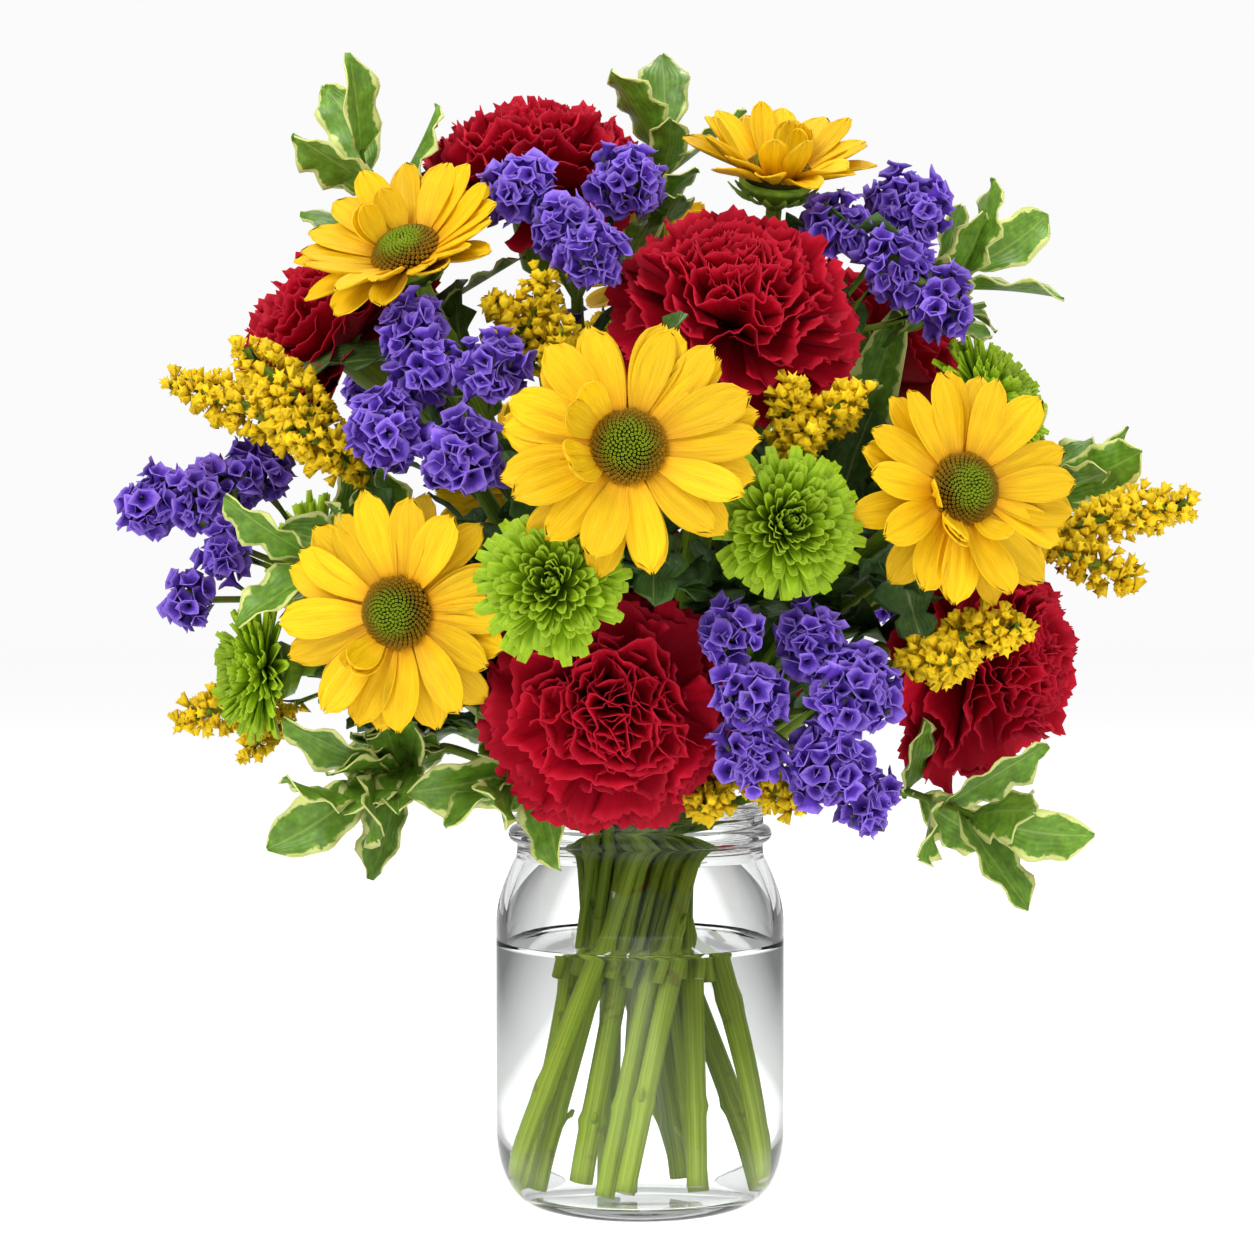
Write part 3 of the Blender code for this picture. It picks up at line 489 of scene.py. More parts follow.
def stem_skin(s, name="stem_skin", dark=1.0):
    """Streaked green with brown marks, paler where stripped in the jar and at the cut end."""
    made, tree, shader = shader_of(name, Roughness=0.5, Specular_IOR_Level=0.2)
    u, v, where, tone = along_piece(tree)
    stretched = {"X": maths(tree, "MULTIPLY", u, 14.0), "Y": maths(tree, "MULTIPLY", v, 0.35), "Z": 0.0}
    streak = noise(tree, node(tree, "CombineXYZ", stretched).outputs["Vector"], 2.0, 3.0)
    c = [k * dark for k in s.green]
    pale = (c[0] * 1.7, c[1] * 1.45, c[2] * 1.5)
    body = ramp(tree, streak, ((0.25, (c[0] * 0.6, c[1] * 0.7, c[2] * 0.6)), (0.5, c), (0.75, pale)))
    patches = noise(tree, where, 90.0, 2.0)
    body = blend_colours(tree, grey_ramp(tree, patches, ((0.45, 0.0), (0.75, 0.5))), body, (0.28, 0.30, 0.05))
    height = node(tree, "SeparateXYZ", {"Vector": where}).outputs["Z"]
    stripped = grey_ramp(tree, maths(tree, "MULTIPLY", height, 5.0), ((0.34, 0.85), (0.55, 0.0)))
    fresh = ((0.3, (0.17, 0.29, 0.012)), (0.5, (0.30, 0.41, 0.018)), (0.72, (0.46, 0.53, 0.07)))
    fresh = ramp(tree, streak, fresh)
    body = blend_colours(tree, stripped, body, fresh)
    marks = grey_ramp(tree, noise(tree, where, 170.0, 3.0), ((0.64, 0.0), (0.70, 0.55)))
    body = blend_colours(tree, marks, body, (0.20, 0.13, 0.03))
    cut = grey_ramp(tree, tone, ((0.55, 0.0), (1.0, 1.0)))
    body = blend_colours(tree, cut, body, (0.62, 0.64, 0.34))
    tree.links.new(body, shader.inputs["Base Color"])
    bumpy(tree, shader, streak, 0.3 * MM, 0.5)
    return made


def leaf_skin(name, middle, margin, edge_at, glossy=0.42):
    """Green with lighter veins; past edge_at the margin's colour breaks in."""
    made, tree, shader = shader_of(name, Roughness=glossy, Coat_Weight=0.08, Specular_IOR_Level=0.35)
    u, v, where, tone = along_piece(tree)
    side = maths(tree, "ABSOLUTE", maths(tree, "SUBTRACT", u, 0.5))
    torn = maths(tree, "SUBTRACT", noise(tree, where, 230.0, 3.0), 0.5)
    ragged = maths(tree, "ADD", side, maths(tree, "MULTIPLY", torn, 0.42))
    rim = grey_ramp(tree, ragged, ((edge_at - 0.02, 0.0), (edge_at + 0.02, 1.0)))
    shares = ((0.3, 0.7), (0.55, 1), (0.8, 1.5))
    tones = [(place, tuple(k * share for k in middle)) for place, share in shares]
    green = ramp(tree, noise(tree, where, 420.0, 3.0), tones)
    vein = grey_ramp(tree, side, ((0.0, 1.0), (0.035, 0.0)))
    green = blend_colours(tree, maths(tree, "MULTIPLY", vein, 0.55), green, (0.32, 0.42, 0.10))
    colour = blend_colours(tree, rim, green, margin)
    shade = grey_ramp(tree, tone, ((0, 0.7), (1, 1.15)))
    tree.links.new(blend_colours(tree, 1.0, colour, shade, "MULTIPLY"), shader.inputs["Base Color"])
    slanting = node(tree, "CombineXYZ", {"X": side, "Y": v, "Z": 0.0}).outputs["Vector"]
    side_vein = node(tree, "TexWave", {"Vector": slanting, "Scale": 3.2, "Distortion": 1.5})
    bumpy(tree, shader, side_vein.outputs["Fac"], 0.25 * MM, 0.35)
    return made


def clear(name, bending, tint, gloss, ripple):
    """Glass or water, clear, with its reflections toned down to gloss."""
    made, tree, shader = shader_of(name, Roughness=0.0, IOR=bending, Transmission_Weight=1.0)
    shader.inputs["Specular Tint"].default_value = (*gloss, 1)
    shader.inputs["Base Color"].default_value = (*tint, 1)
    where = node(tree, "TexCoord").outputs["Object"]
    bumpy(tree, shader, noise(tree, where, ripple, 1.0), 0.15 * MM, 0.05)
    return made


# ================================================================ flowers
def turned_about(angles, points):
    """Turns copies (copies, n, 3) about z by their angles."""
    c, s = np.cos(angles)[:, None], np.sin(angles)[:, None]
    x, y, z = points[..., 0], points[..., 1], points[..., 2]
    return np.stack([c * x - s * y, s * x + c * y, z], axis=-1)


def blade(v, length, lift, curl):
    """(along, up, slope) of strips that leave at lift and bend by curl, all (copies, n)."""
    steps = 24  # of the sum along the strip
    t = np.linspace(0, 1, steps + 1)
    angle = lift[:, None] + curl[:, None] * t
    ways = []
    for part in (np.cos(angle), np.sin(angle)):
        run = np.cumsum((part[:, 1:] + part[:, :-1]) / 2, axis=1)
        run = np.concatenate([np.zeros((len(lift), 1)), run], axis=1)
        ways.append(np.array([np.interp(v, t, row) for row in run]) * length[:, None] / steps)
    return *ways, lift[:, None] + curl[:, None] * v


def set_round(sculpt, head, patch, turns, shape, thickness, tone, finish=0):
    """Adds thin strips of shape (x, y, z), each turned about the head's axis."""
    u, v, quads = patch
    local = turned_about(np.asarray(turns) - np.pi / 2, np.stack(shape, axis=-1))
    uv = np.stack([(u + 1) / 2, v], axis=-1)
    sheets(sculpt, head.centre + local @ head.frame().T, quads, uv, thickness, tone, finish)


def ray_petals(sculpt, head, rings, rng, patch, disc):
    """Rings of long petals with a narrow foot, a round tip and two grooves."""
    u, v, _ = patch
    reach = head.radius - disc * 0.75
    for ring, (turns, share, lift, curl) in enumerate(rings):
        count = len(turns)
        length = reach * share * rng.uniform(0.92, 1.03, count)
        lifts = head.lift + lift + rng.normal(0, 0.07, count)
        curls = curl + rng.normal(0, 0.2, count)
        wide = head.radius * rng.uniform(0.138, 0.172, count) * (0.55 + 0.45 * share)  # half widths
        at, rise, slope = blade(v, length, lifts, curls)
        widest = 0.66  # of the way to the tip
        foot = 0.30 + 0.70 * np.sin(np.pi / 2 * np.clip(v / widest, 0, 1)) ** 1.1
        tip = np.sqrt(np.clip(1 - (np.clip(v - widest, 0, 1) / (1.004 - widest)) ** 2.1, 0, 1))
        half = wide[:, None] * (foot * tip)
        notch = 0.022 * length[:, None] * (v**8 * np.cos(2.6 * np.pi * u))
        cup = rng.uniform(0.05, 0.42, count)[:, None] * half * u**2 * (1.15 - 0.7 * v)
        groove = -0.12 * half * np.cos(3 * np.pi * u) * np.sin(np.pi * v)
        twist = rng.normal(0, 0.16, count)[:, None] * v * half * u
        up = cup + groove + twist
        y = 0.75 * disc + at + (notch - up * np.sin(slope))
        z = rise + up * np.cos(slope) + 0.5 * MM * ring
        x = half * u + rng.normal(0, 0.06, count)[:, None] * length[:, None] * v**2
        set_round(sculpt, head, patch, turns, (x, y, z), 0.35 * MM, rng.uniform(0, 1, count))


def even_turns(count, offset, rng, slack=0.14):
    """Angles spread evenly round a head, each off by a little."""
    return 2 * np.pi * (np.arange(count) + offset + rng.uniform(-slack, slack, count)) / count


def disc_dome(sculpt, head, disc, height, rng, finish, count=300):
    """A low dome of tiny open florets in a sunflower spiral, on a cushion that the disc material darkens with
    painted shade.
    """
    place = head.frame()
    steps = np.linspace(0, 1, 8)
    cushion = disc * np.cos(steps * np.pi / 2 * 0.97)
    heights = (height - 1.4 * MM) * np.sin(steps * np.pi / 2)
    path = head.centre + np.outer(np.concatenate([[-0.6 * MM], heights]), head.axis)
    # the cushion's v stays low, so the disc material paints it near black as shade between the florets
    tube(sculpt, path, np.concatenate([[disc * 0.96], cushion * 0.96]), 20, 0.55, finish)
    k = np.arange(count) + 0.5
    out = disc * np.sqrt(k / count)
    angle = GOLDEN_ANGLE * k
    share = out / disc
    rise = height * np.sqrt(np.clip(1.06 - share**2, 0, 1)) * 0.98
    rise = rise - 0.16 * height * np.exp(-((share / 0.3) ** 2))
    tilt = 1.15 * share**2.5
    sides = 5
    spin = 2 * np.pi * np.arange(sides) / sides
    size = disc * 0.043 * rng.uniform(0.85, 1.12, count) * (1 + 0.55 * share**2)
    rings = ((1.0, -2.6), (0.95, 0.7), (0.45, 0.9), (0.15, 0.0))
    base = np.concatenate([
        np.stack([r * np.cos(spin), r * np.sin(spin), np.full(sides, up)], axis=-1) for r, up in rings
    ])[None] * size[:, None, None]
    c, s = np.cos(tilt)[:, None], np.sin(tilt)[:, None]
    x, y, z = base[..., 0], base[..., 1], base[..., 2]
    leaned = np.stack([c * x + s * z, y, -s * x + c * z], axis=-1)
    leaned[..., 0] += out[:, None]
    leaned[..., 2] += rise[:, None]
    local = turned_about(angle, leaned)
    faces = ring_faces(len(rings), sides)
    # v is 0 at each floret's foot and throat, where the disc material paints shade
    depth = np.repeat([0.0, 1.0, 0.8, 0.0], sides)
    uv = np.stack([np.zeros_like(depth), depth], axis=-1)
    tone = np.clip(share + rng.normal(0, 0.04, count), 0, 1)
    sculpt.add(head.centre + local @ place.T, faces, uv, tone, finish)


def ring_faces(rings, sides):
    """Quads between stacked rings of points."""
    r, a = np.meshgrid(np.arange(rings - 1), np.arange(sides), indexing="ij")
    b = (a + 1) % sides
    low, high = r * sides, (r + 1) * sides
    return np.stack([low + a, low + b, high + b, high + a], axis=-1).reshape(-1, 4)


def plain_stem(sculpt, head, rng, finish, last, sides=12, spread=38 * MM, stub=0.35):
    """The stem up to ring last, with swollen nodes and the stubs of stripped leaves."""
    path, sizes = smooth_path(*(part[:last] for part in head.rings), 2.5 * MM)
    length = np.concatenate([[0], np.cumsum(np.linalg.norm(np.diff(path, axis=0), axis=1))])
    knots = np.arange(rng.uniform(8, 26) * MM, length[-1] - 10 * MM, spread)
    knots = knots + rng.uniform(-5, 5, len(knots)) * MM
    swell = np.ones(len(path))
    fuller, reach = 0.22, 1.6 * MM
    for knot in knots:
        swell += fuller * np.exp(-(((length - knot) / reach) ** 2))
    sizes = sizes * (1 + 0.05 * np.cos(length / (30 * MM)) * rng.uniform(-1, 1)) * swell
    tube(sculpt, path, sizes, sides, tone=rng.uniform(0.3, 0.5), finish=finish, ribs=0.035)
    for knot in knots:
        if rng.uniform() > stub:
            continue
        k = min(max(int(np.argmin(abs(length - knot))), 1), len(path) - 2)
        ahead = unit(path[k + 1] - path[k - 1])
        out = unit(np.cross(ahead, rng.normal(size=3)))
        base = path[k] + out * sizes[k] * 0.6
        long = rng.uniform(2.5, 5) * MM
        nib = [base, base + (out * 0.7 + ahead * 0.7) * long * 0.6, base + (out * 0.5 + ahead * 0.9) * long]
        tube(sculpt, nib, np.array([0.9, 0.75, 0.45]) * MM, 6, tone=0.5, finish=finish)
    return path


def swelling(sculpt, head, start, finish, end=None, sides=20, ribs=0.03):
    """The receptacle or calyx, from ring start up to ring end."""
    path, sizes = smooth_path(*(part[start:end] for part in head.rings), 1.0 * MM)
    tube(sculpt, path, sizes, sides, tone=0.5, finish=finish, ribs=ribs)


def bracts(sculpt, head, rng, count, length, wide, start, lift, finish, patch):
    """Small pointed green leaves that clasp the underside of a head."""
    u, v, _ = patch
    turn = 2 * np.pi * (np.arange(count) + rng.uniform(-0.2, 0.2, count)) / count
    lengths = length * rng.uniform(0.85, 1.15, count)
    at, rise, slope = blade(v, lengths, np.full(count, lift), np.full(count, 0.9))
    half = wide * np.sqrt(np.clip(1 - v**2, 0.02, 1)) * np.ones((count, 1))
    up = 0.25 * half * u**2
    shape = half * u, start[0] + at - up * np.sin(slope), start[1] + rise + up * np.cos(slope)
    set_round(sculpt, head, patch, turn, shape, 0.3 * MM, rng.uniform(0.2, 0.6, count), finish)


def carnation_petals(sculpt, head, rng, patch):
    """Broad fans with a finely toothed, waved edge, from flat outside to upright in the middle."""
    u, v, _ = patch
    r = head.radius
    edge = np.round((u + 1) / 2 * (len(np.unique(np.round(u, 5))) - 1)).astype(int)
    rings = (  # petals, lift, length, curl, width and depth of the ruffles
        (8, -0.12, 1.05, 0.10, 0.66, 0.07), (8, 0.16, 1.01, 0.15, 0.64, 0.10),
        (7, 0.44, 0.97, 0.20, 0.62, 0.13), (7, 0.72, 0.91, 0.15, 0.60, 0.15),
        (6, 0.98, 0.85, 0.05, 0.58, 0.17), (6, 1.2, 0.81, -0.05, 0.54, 0.19),
        (5, 1.4, 0.79, -0.1, 0.46, 0.22), (3, 1.52, 0.76, 0.0, 0.36, 0.26),
    )
    for ring, (count, lift, share, curl, wide, depth) in enumerate(rings):
        turn = even_turns(count, 0.5 * (ring % 2) + 0.2 * ring, rng, 0.26)
        length = r * share * rng.uniform(0.92, 1.04, count)
        lifts = lift + rng.normal(0, 0.09, count)
        curls = curl + rng.normal(0, 0.22, count)
        at, rise, slope = blade(v, length, lifts, curls)
        half = (length * wide * rng.uniform(0.85, 1.15, count))[:, None] * (0.07 + 0.93 * v**1.15)
        waves = rng.uniform(0.9, 1.7, count)[:, None]
        phase = rng.uniform(0, 2 * np.pi, count)[:, None]
        deep = length[:, None] * depth * rng.uniform(0.75, 1.25, count)[:, None]
        fold = deep * v**1.5 * np.sin(waves * np.pi * u + phase)
        fold += 0.30 * deep * v**3.5 * np.sin(2.7 * waves * np.pi * u + 2.3 * phase)
        fold += 0.13 * deep * v**7 * np.sin(6.1 * waves * np.pi * u + 3.1 * phase)
        fold += 0.5 * (length * 0.16)[:, None] * v**1.3 * u**2
        ragged = rng.uniform(0.35, 1.0, (count, edge.max() + 1))[:, edge]
        teeth = 0.030 * length[:, None] * v**16 * np.where(edge % 2, 1.0, -1.0) * ragged
        lobes = 0.035 * length[:, None] * v**6 * np.sin(2.2 * np.pi * u * waves + 1.7 * phase)
        round_edge = -0.20 * length[:, None] * v**2 * u**2
        x = half * u * (1 - 0.10 * np.cos(waves * np.pi * u + phase) * v**2)
        radial = round_edge + teeth + lobes
        y = 1.0 * MM + at + radial * np.cos(slope) - fold * np.sin(slope)
        z = rise + radial * np.sin(slope) + fold * np.cos(slope)
        tone = np.clip(rng.normal(0.55, 0.2, count), 0, 1)
        set_round(sculpt, head, patch, turn, (x, y, z), 0.25 * MM, tone)


def button_petals(sculpt, head, rng, patch, count=210):
    """Short spoon petals all over a dome, closed at its middle."""
    u, v, _ = patch
    k = np.arange(count) + 0.5
    share = np.sqrt(k / count)
    turn = GOLDEN_ANGLE * k + rng.normal(0, 0.09, count)
    r = head.radius
    lean = math.pi / 2 - 1.62 * share**1.1 + rng.normal(0, 0.08, count)
    length = r * (0.40 + 0.56 * share**0.8) * rng.uniform(0.88, 1.06, count)
    curl = 0.95 - 0.9 * share + rng.normal(0, 0.08, count)
    at, rise, slope = blade(v, length, lean - 0.45 * curl, curl)
    wide = r * (0.052 + 0.042 * share)
    half = wide[:, None] * (0.45 + 0.55 * np.sin(np.pi * np.clip(v * 0.92 + 0.02, 0, 1) ** 1.6))
    up = (0.75 * half * u**2) * (0.4 + 0.6 * v)
    shape = half * u, r * 0.02 + at - up * np.sin(slope), 2.2 * MM + rise + up * np.cos(slope)
    tone = np.clip(0.15 + 0.75 * share + rng.normal(0, 0.08, count), 0, 1)
    set_round(sculpt, head, patch, turn, shape, 0.3 * MM, tone)


# ================================================================ sprays
class Surface:
    """A CAD node's merged surface, with its thickness at each face and vertex."""

    def __init__(self, node_name):
        self.points, self.tris = skin(node_name)
        a, b, c = (self.points[self.tris[:, k]] for k in range(3))
        cross = np.cross(b - a, c - a)
        self.area = np.linalg.norm(cross, axis=1) / 2
        self.normals = unit(cross)
        self.middles = (a + b + c) / 3
        tree = BVHTree.FromPolygons([Vector(p) for p in self.points], [tuple(t) for t in self.tris])
        self.thick = np.array([self.through(tree, m, n) for m, n in zip(self.middles, self.normals)])
        self.vertex_normals = np.zeros_like(self.points)
        weight = np.zeros(len(self.points))
        self.vertex_thick = np.zeros(len(self.points))
        for k in range(3):
            np.add.at(self.vertex_normals, self.tris[:, k], self.normals * self.area[:, None])
            np.add.at(self.vertex_thick, self.tris[:, k], self.thick * self.area)
            np.add.at(weight, self.tris[:, k], self.area)
        self.vertex_normals = unit(self.vertex_normals)
        self.vertex_thick /= weight

    @staticmethod
    def through(tree, middle, normal):
        hit = tree.ray_cast(Vector(middle - normal * 1e-5), Vector(-normal))
        return hit[3] if hit[0] is not None else 0.0

    def scatter(self, spacing, thicker_than, rng):
        """(points, normals) spread evenly over the thick parts, at least spacing apart."""
        above_jar = self.middles[:, 2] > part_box("jar")[1][2] - 2 * MM
        faces = np.flatnonzero((self.thick > thicker_than) & above_jar)
        if not len(faces):
            return np.zeros((0, 3)), np.zeros((0, 3))
        weight = self.area[faces] / self.area[faces].sum()
        tries = int(self.area[faces].sum() / spacing**2 * 6)
        chosen = rng.choice(faces, tries, p=weight)
        r1, r2 = np.sqrt(rng.uniform(size=tries)), rng.uniform(size=tries)
        a, b, c = (self.points[self.tris[chosen, k]] for k in range(3))
        spots = a * (1 - r1)[:, None] + b * (r1 * (1 - r2))[:, None] + c * (r1 * r2)[:, None]
        kept, cells = [], {}
        for number, spot in enumerate(spots):
            cell = tuple(np.floor(spot / spacing).astype(int))
            around = (cells.get(tuple(np.add(cell, step)), ()) for step in NEIGHBOURS)
            if all(np.linalg.norm(spot - other) > spacing for near in around for other in near):
                cells.setdefault(cell, []).append(spot)
                kept.append(number)
        return spots[kept], self.normals[chosen[kept]]

    def core(self, sculpt, keep, finish, tone=0.5):
        """The surface drawn in to its own branches, keep thick at most."""
        pull = np.maximum(0, self.vertex_thick - keep) / 2
        points = self.points - self.vertex_normals * pull[:, None]
        x, y, z = self.points.T
        sculpt.add(points, self.tris, np.stack([np.arctan2(y, x) / 6.283, z * 20], axis=1), tone, finish)


def facing(local, spots, directions, rng):
    """Florets (copies, n, 3) set on their spots, z along the direction, each with a random spin."""
    z = unit(directions)
    x = unit(np.cross(z, rng.normal(size=z.shape)))
    return np.einsum("kij,knj->kni", np.stack([x, np.cross(z, x), z], axis=-1), local) + spots[:, None]


def funnel_floret(sculpt, spots, directions, size, rng, sides=10):
    """Papery funnels with a crimped, lighter rim of five shallow lobes."""
    count = len(spots)
    spin = 2 * np.pi * np.arange(sides) / sides
    rings = ((0.10, -0.75, 0.0), (0.18, -0.1, 0.35), (0.40, 0.38, 0.75), (0.70, 0.62, 1.0))
    lobes = np.cos(5 * spin)[None]
    parts, depth = [], []
    for out, up, share in rings:
        crimp = share**3 * rng.normal(size=(count, sides))
        wave = 1 + 0.11 * share**2 * lobes + 0.08 * crimp
        squash = 1 + 0.22 * share * rng.uniform(-1, 1, (count, 1)) * np.cos(2 * spin)[None]
        lift = up + 0.11 * crimp + 0.16 * share**2 * rng.uniform(-1, 1, (count, 1)) * np.cos(spin + 1)[None]
        wide = out * wave * squash
        parts.append(np.stack([wide * np.cos(spin), wide * np.sin(spin), lift], axis=-1))
        depth += [share] * sides
    local = np.concatenate(parts, axis=1) * (size * rng.uniform(0.7, 1.15, count))[:, None, None]
    turned = facing(local, spots, directions, rng)
    uv = np.stack([np.tile(np.arange(sides) / sides, len(rings)), depth], axis=-1)
    sheets(sculpt, turned, ring_faces(len(rings), sides), uv, 0.18 * MM, rng.uniform(0, 1, count))


def star_floret(sculpt, spots, directions, size, rng, finish=0):
    """Tiny stars on a short green cup."""
    count, points = len(spots), 10
    spin = 2 * np.pi * np.arange(points) / points
    out = np.where(np.arange(points) % 2, 0.42, 1.0)[None] * rng.uniform(0.8, 1.1, (count, points))
    lift = 0.35 + 0.3 * rng.normal(size=(count, points)) * 0.5
    star = np.stack([out * np.cos(spin), out * np.sin(spin), lift], axis=-1)
    ends = np.tile([[0.0, 0.0, 0.25], [0.0, 0.0, -1.9]], (count, 1, 1))  # the middle and the foot
    local = np.concatenate([star, ends], axis=1) * (size * rng.uniform(0.75, 1.15, count))[:, None, None]
    turned = facing(local, spots, directions, rng)
    ring = np.arange(points)
    after = (ring + 1) % points
    faces = np.concatenate([
        np.stack([np.full(points, points), ring, after], axis=1),
        np.stack([np.full(points, points + 1), after, ring], axis=1),
    ])
    uv = np.concatenate([np.stack([ring / points, np.ones(points)], axis=-1), [[0.5, 0.6], [0.5, 0.0]]])
    sculpt.add(turned, faces, uv, rng.uniform(0, 1, count), finish)


# ================================================================ leaves
def leaf_plates(node_name):
    """(corners, middle, long way, normal, width) of each flat leaf side on a CAD sprig."""
    points, tris = skin(node_name)
    a, b, c = (points[tris[:, k]] for k in range(3))
    cross = np.cross(b - a, c - a)
    normals, area = unit(cross), np.linalg.norm(cross, axis=1) / 2
    beside = {}
    for face, tri in enumerate(tris):
        for k in range(3):
            beside.setdefault(frozenset((tri[k], tri[(k + 1) % 3])), []).append(face)
    group = np.arange(len(tris))

    def root(k):
        while group[k] != k:
            k = group[k]
        return k

    for faces in beside.values():
        if len(faces) == 2 and normals[faces[0]] @ normals[faces[1]] > 0.9995:
            group[root(faces[0])] = root(faces[1])
    roots = np.array([root(k) for k in range(len(tris))])
    plates = []
    for r in np.unique(roots):
        ours = np.flatnonzero(roots == r)
        if area[ours].sum() < SMALLEST_LEAF:
            continue
        corners = points[np.unique(tris[ours])]
        middle = corners.mean(axis=0)
        _, _, axes = np.linalg.svd(corners - middle)
        wide = (corners - middle) @ axes[1]
        if wide.max() - wide.min() < NARROWEST_LEAF:
            continue
        plates.append((corners, middle, axes[0], normals[ours[0]], wide.max() - wide.min()))
    return plates


def sprig_parts(node_name):
    """(twig path, radii, leaves) of a CAD sprig; each leaf is (base, tip, upper side, width)."""
    centres, radii = rings_of(node_name)
    foot = centres[-1]
    leaves = []
    for corners, middle, along, normal, wide in leaf_plates(node_name):
        span = (corners - middle) @ along
        ends = middle + along * span.min(), middle + along * span.max()
        leaves.append([*ends, normal, wide])
    axis = unit(np.mean([leaf[0] + leaf[1] for leaf in leaves], axis=0) / 2 - foot)
    for leaf in leaves:
        near = [np.linalg.norm(np.cross(end - foot, axis)) for end in leaf[:2]]
        if near[1] < near[0]:
            leaf[0], leaf[1] = leaf[1], leaf[0]
    upper = [leaf for leaf in leaves if leaf[2] @ axis > 0]
    bases = sorted((leaf[0] for leaf in upper), key=lambda p: np.linalg.norm(p - foot))
    path = np.concatenate([centres, bases[::2] if len(bases) > 4 else bases])
    sizes = np.concatenate([radii, np.linspace(radii[-1] * 0.85, 0.8 * MM, len(path) - len(radii))])
    return path, sizes, upper


def wavy_leaves(sculpt, leaves, rng, patch, finish, wave=0.16, shape="oval", stalk=True, thickness=0.4 * MM):
    """Leaves from (base, tip, upper side, width), with a waved edge and a creased middle."""
    u, v, quads = patch
    if shape == "oval":
        a = np.where(v < 0.55, (0.55 - v) / 0.55, (v - 0.55) / 0.45)
        outline = np.clip(1 - a**2.1, 0, 1) ** 0.62 * (1 - 0.25 * np.clip((v - 0.75) / 0.25, 0, 1))
        outline = np.maximum(outline, 0.07)
    elif shape == "lobed":
        a = np.where(v < 0.5, (0.5 - v) / 0.5, (v - 0.5) / 0.5)
        lobes = 0.78 + 0.30 * np.cos(2 * np.pi * (3.2 * v + 0.1))
        outline = np.maximum(np.clip(1 - a**2, 0, 1) ** 0.5 * lobes, 0.08)
    else:
        outline = np.maximum(np.clip(1 - v**2.2, 0, 1) * (0.4 + 0.6 * np.minimum(1, v * 5)), 0.05)
    points, tones = [], []
    for base, tip, normal, wide in leaves:
        along = tip - base
        long = np.linalg.norm(along)
        along = along / long
        side = unit(np.cross(along, normal))
        over = np.cross(side, along)
        bend = rng.uniform(-0.10, 0.22) * long
        phase, waves = rng.uniform(0, 6.28), rng.uniform(2.2, 3.4)
        ripple = wave * wide * 0.5 * np.abs(u) ** 1.5 * np.clip(v * 4, 0, 1)
        ripple = ripple * np.sin(waves * 2 * np.pi * v + phase + np.where(u > 0, 1.4, 0))
        crease = 0.16 * wide * np.abs(u) * outline
        droop = -bend * (v - 0.35) ** 2
        x = 0.5 * wide * outline * u * (1 + 0.08 * np.sin(waves * 6.28 * v + phase))
        curl_side = rng.uniform(-0.06, 0.06) * long * np.sin(np.pi * v)
        flat = base + np.outer(long * v, along) + np.outer(x + curl_side, side)
        points.append(flat + np.outer(ripple + crease + droop, over))
        tones.append(rng.uniform(0, 1))
        if stalk:
            ends = [base - along * 2.2 * MM, base + along * 0.06 * long]
            tube(sculpt, ends, [0.75 * MM, 0.6 * MM], 6, 0.4, finish + 1)
    if points:
        uv = np.stack([(u + 1) / 2, v], axis=-1)
        sheets(sculpt, np.array(points), quads[:, ::-1], uv, thickness, np.array(tones), finish)


def obstacle_heads():
    """Every flower head, which loose leaves keep behind."""
    found = [daisy_head(number) for number in numbers("daisy_")]
    found += [carnation_head(number) for number in numbers("carnation_")]
    return found + [button_head(name) for name in names("button_mum_")]


def hides_a_head(point, heads):
    """True if the point is in front of a head's back or too near it."""
    for head in heads:
        local = point - head.centre
        up = local @ head.axis
        out = np.linalg.norm(local - head.axis * up)
        in_front = -5 * MM < up < 45 * MM
        if in_front and out < head.radius * 0.98:
            return True
    return False


def stem_leaves(path, rng, heads, count, long, wide, lowest):
    """Leaves that grow from a stem above the jar, where they hide no head."""
    found = []
    tangent = unit(np.gradient(path, axis=0))
    high = np.flatnonzero(path[:, 2] > lowest)
    if len(high) < 4:
        return found
    for _ in range(count * 8):
        if len(found) == count:
            break
        k = high[int((len(high) - 1) * rng.uniform() ** 0.6)]
        away = unit(path[k] * [1, 1, 0] + rng.normal(size=3) * 0.035)
        direction = unit(away * 1.1 + tangent[k] * 0.45 + np.array([0, 0, rng.uniform(-0.25, 0.5)]))
        direction = unit(direction + 0.35 * rng.normal(size=3))
        length = long * rng.uniform(0.75, 1.15)
        base, tip = path[k] + direction * 1.2 * MM, path[k] + direction * length
        blocked = any(hides_a_head(base + (tip - base) * t, heads) for t in (0.3, 0.5, 0.75, 1.0))
        if blocked or tip[2] < LOWEST_TIP or base[2] < LOWEST_LEAF:
            continue
        normal = unit(UP + 0.4 * away + 0.3 * rng.normal(size=3))
        found.append((base, tip, normal, wide * rng.uniform(0.8, 1.15)))
    return found


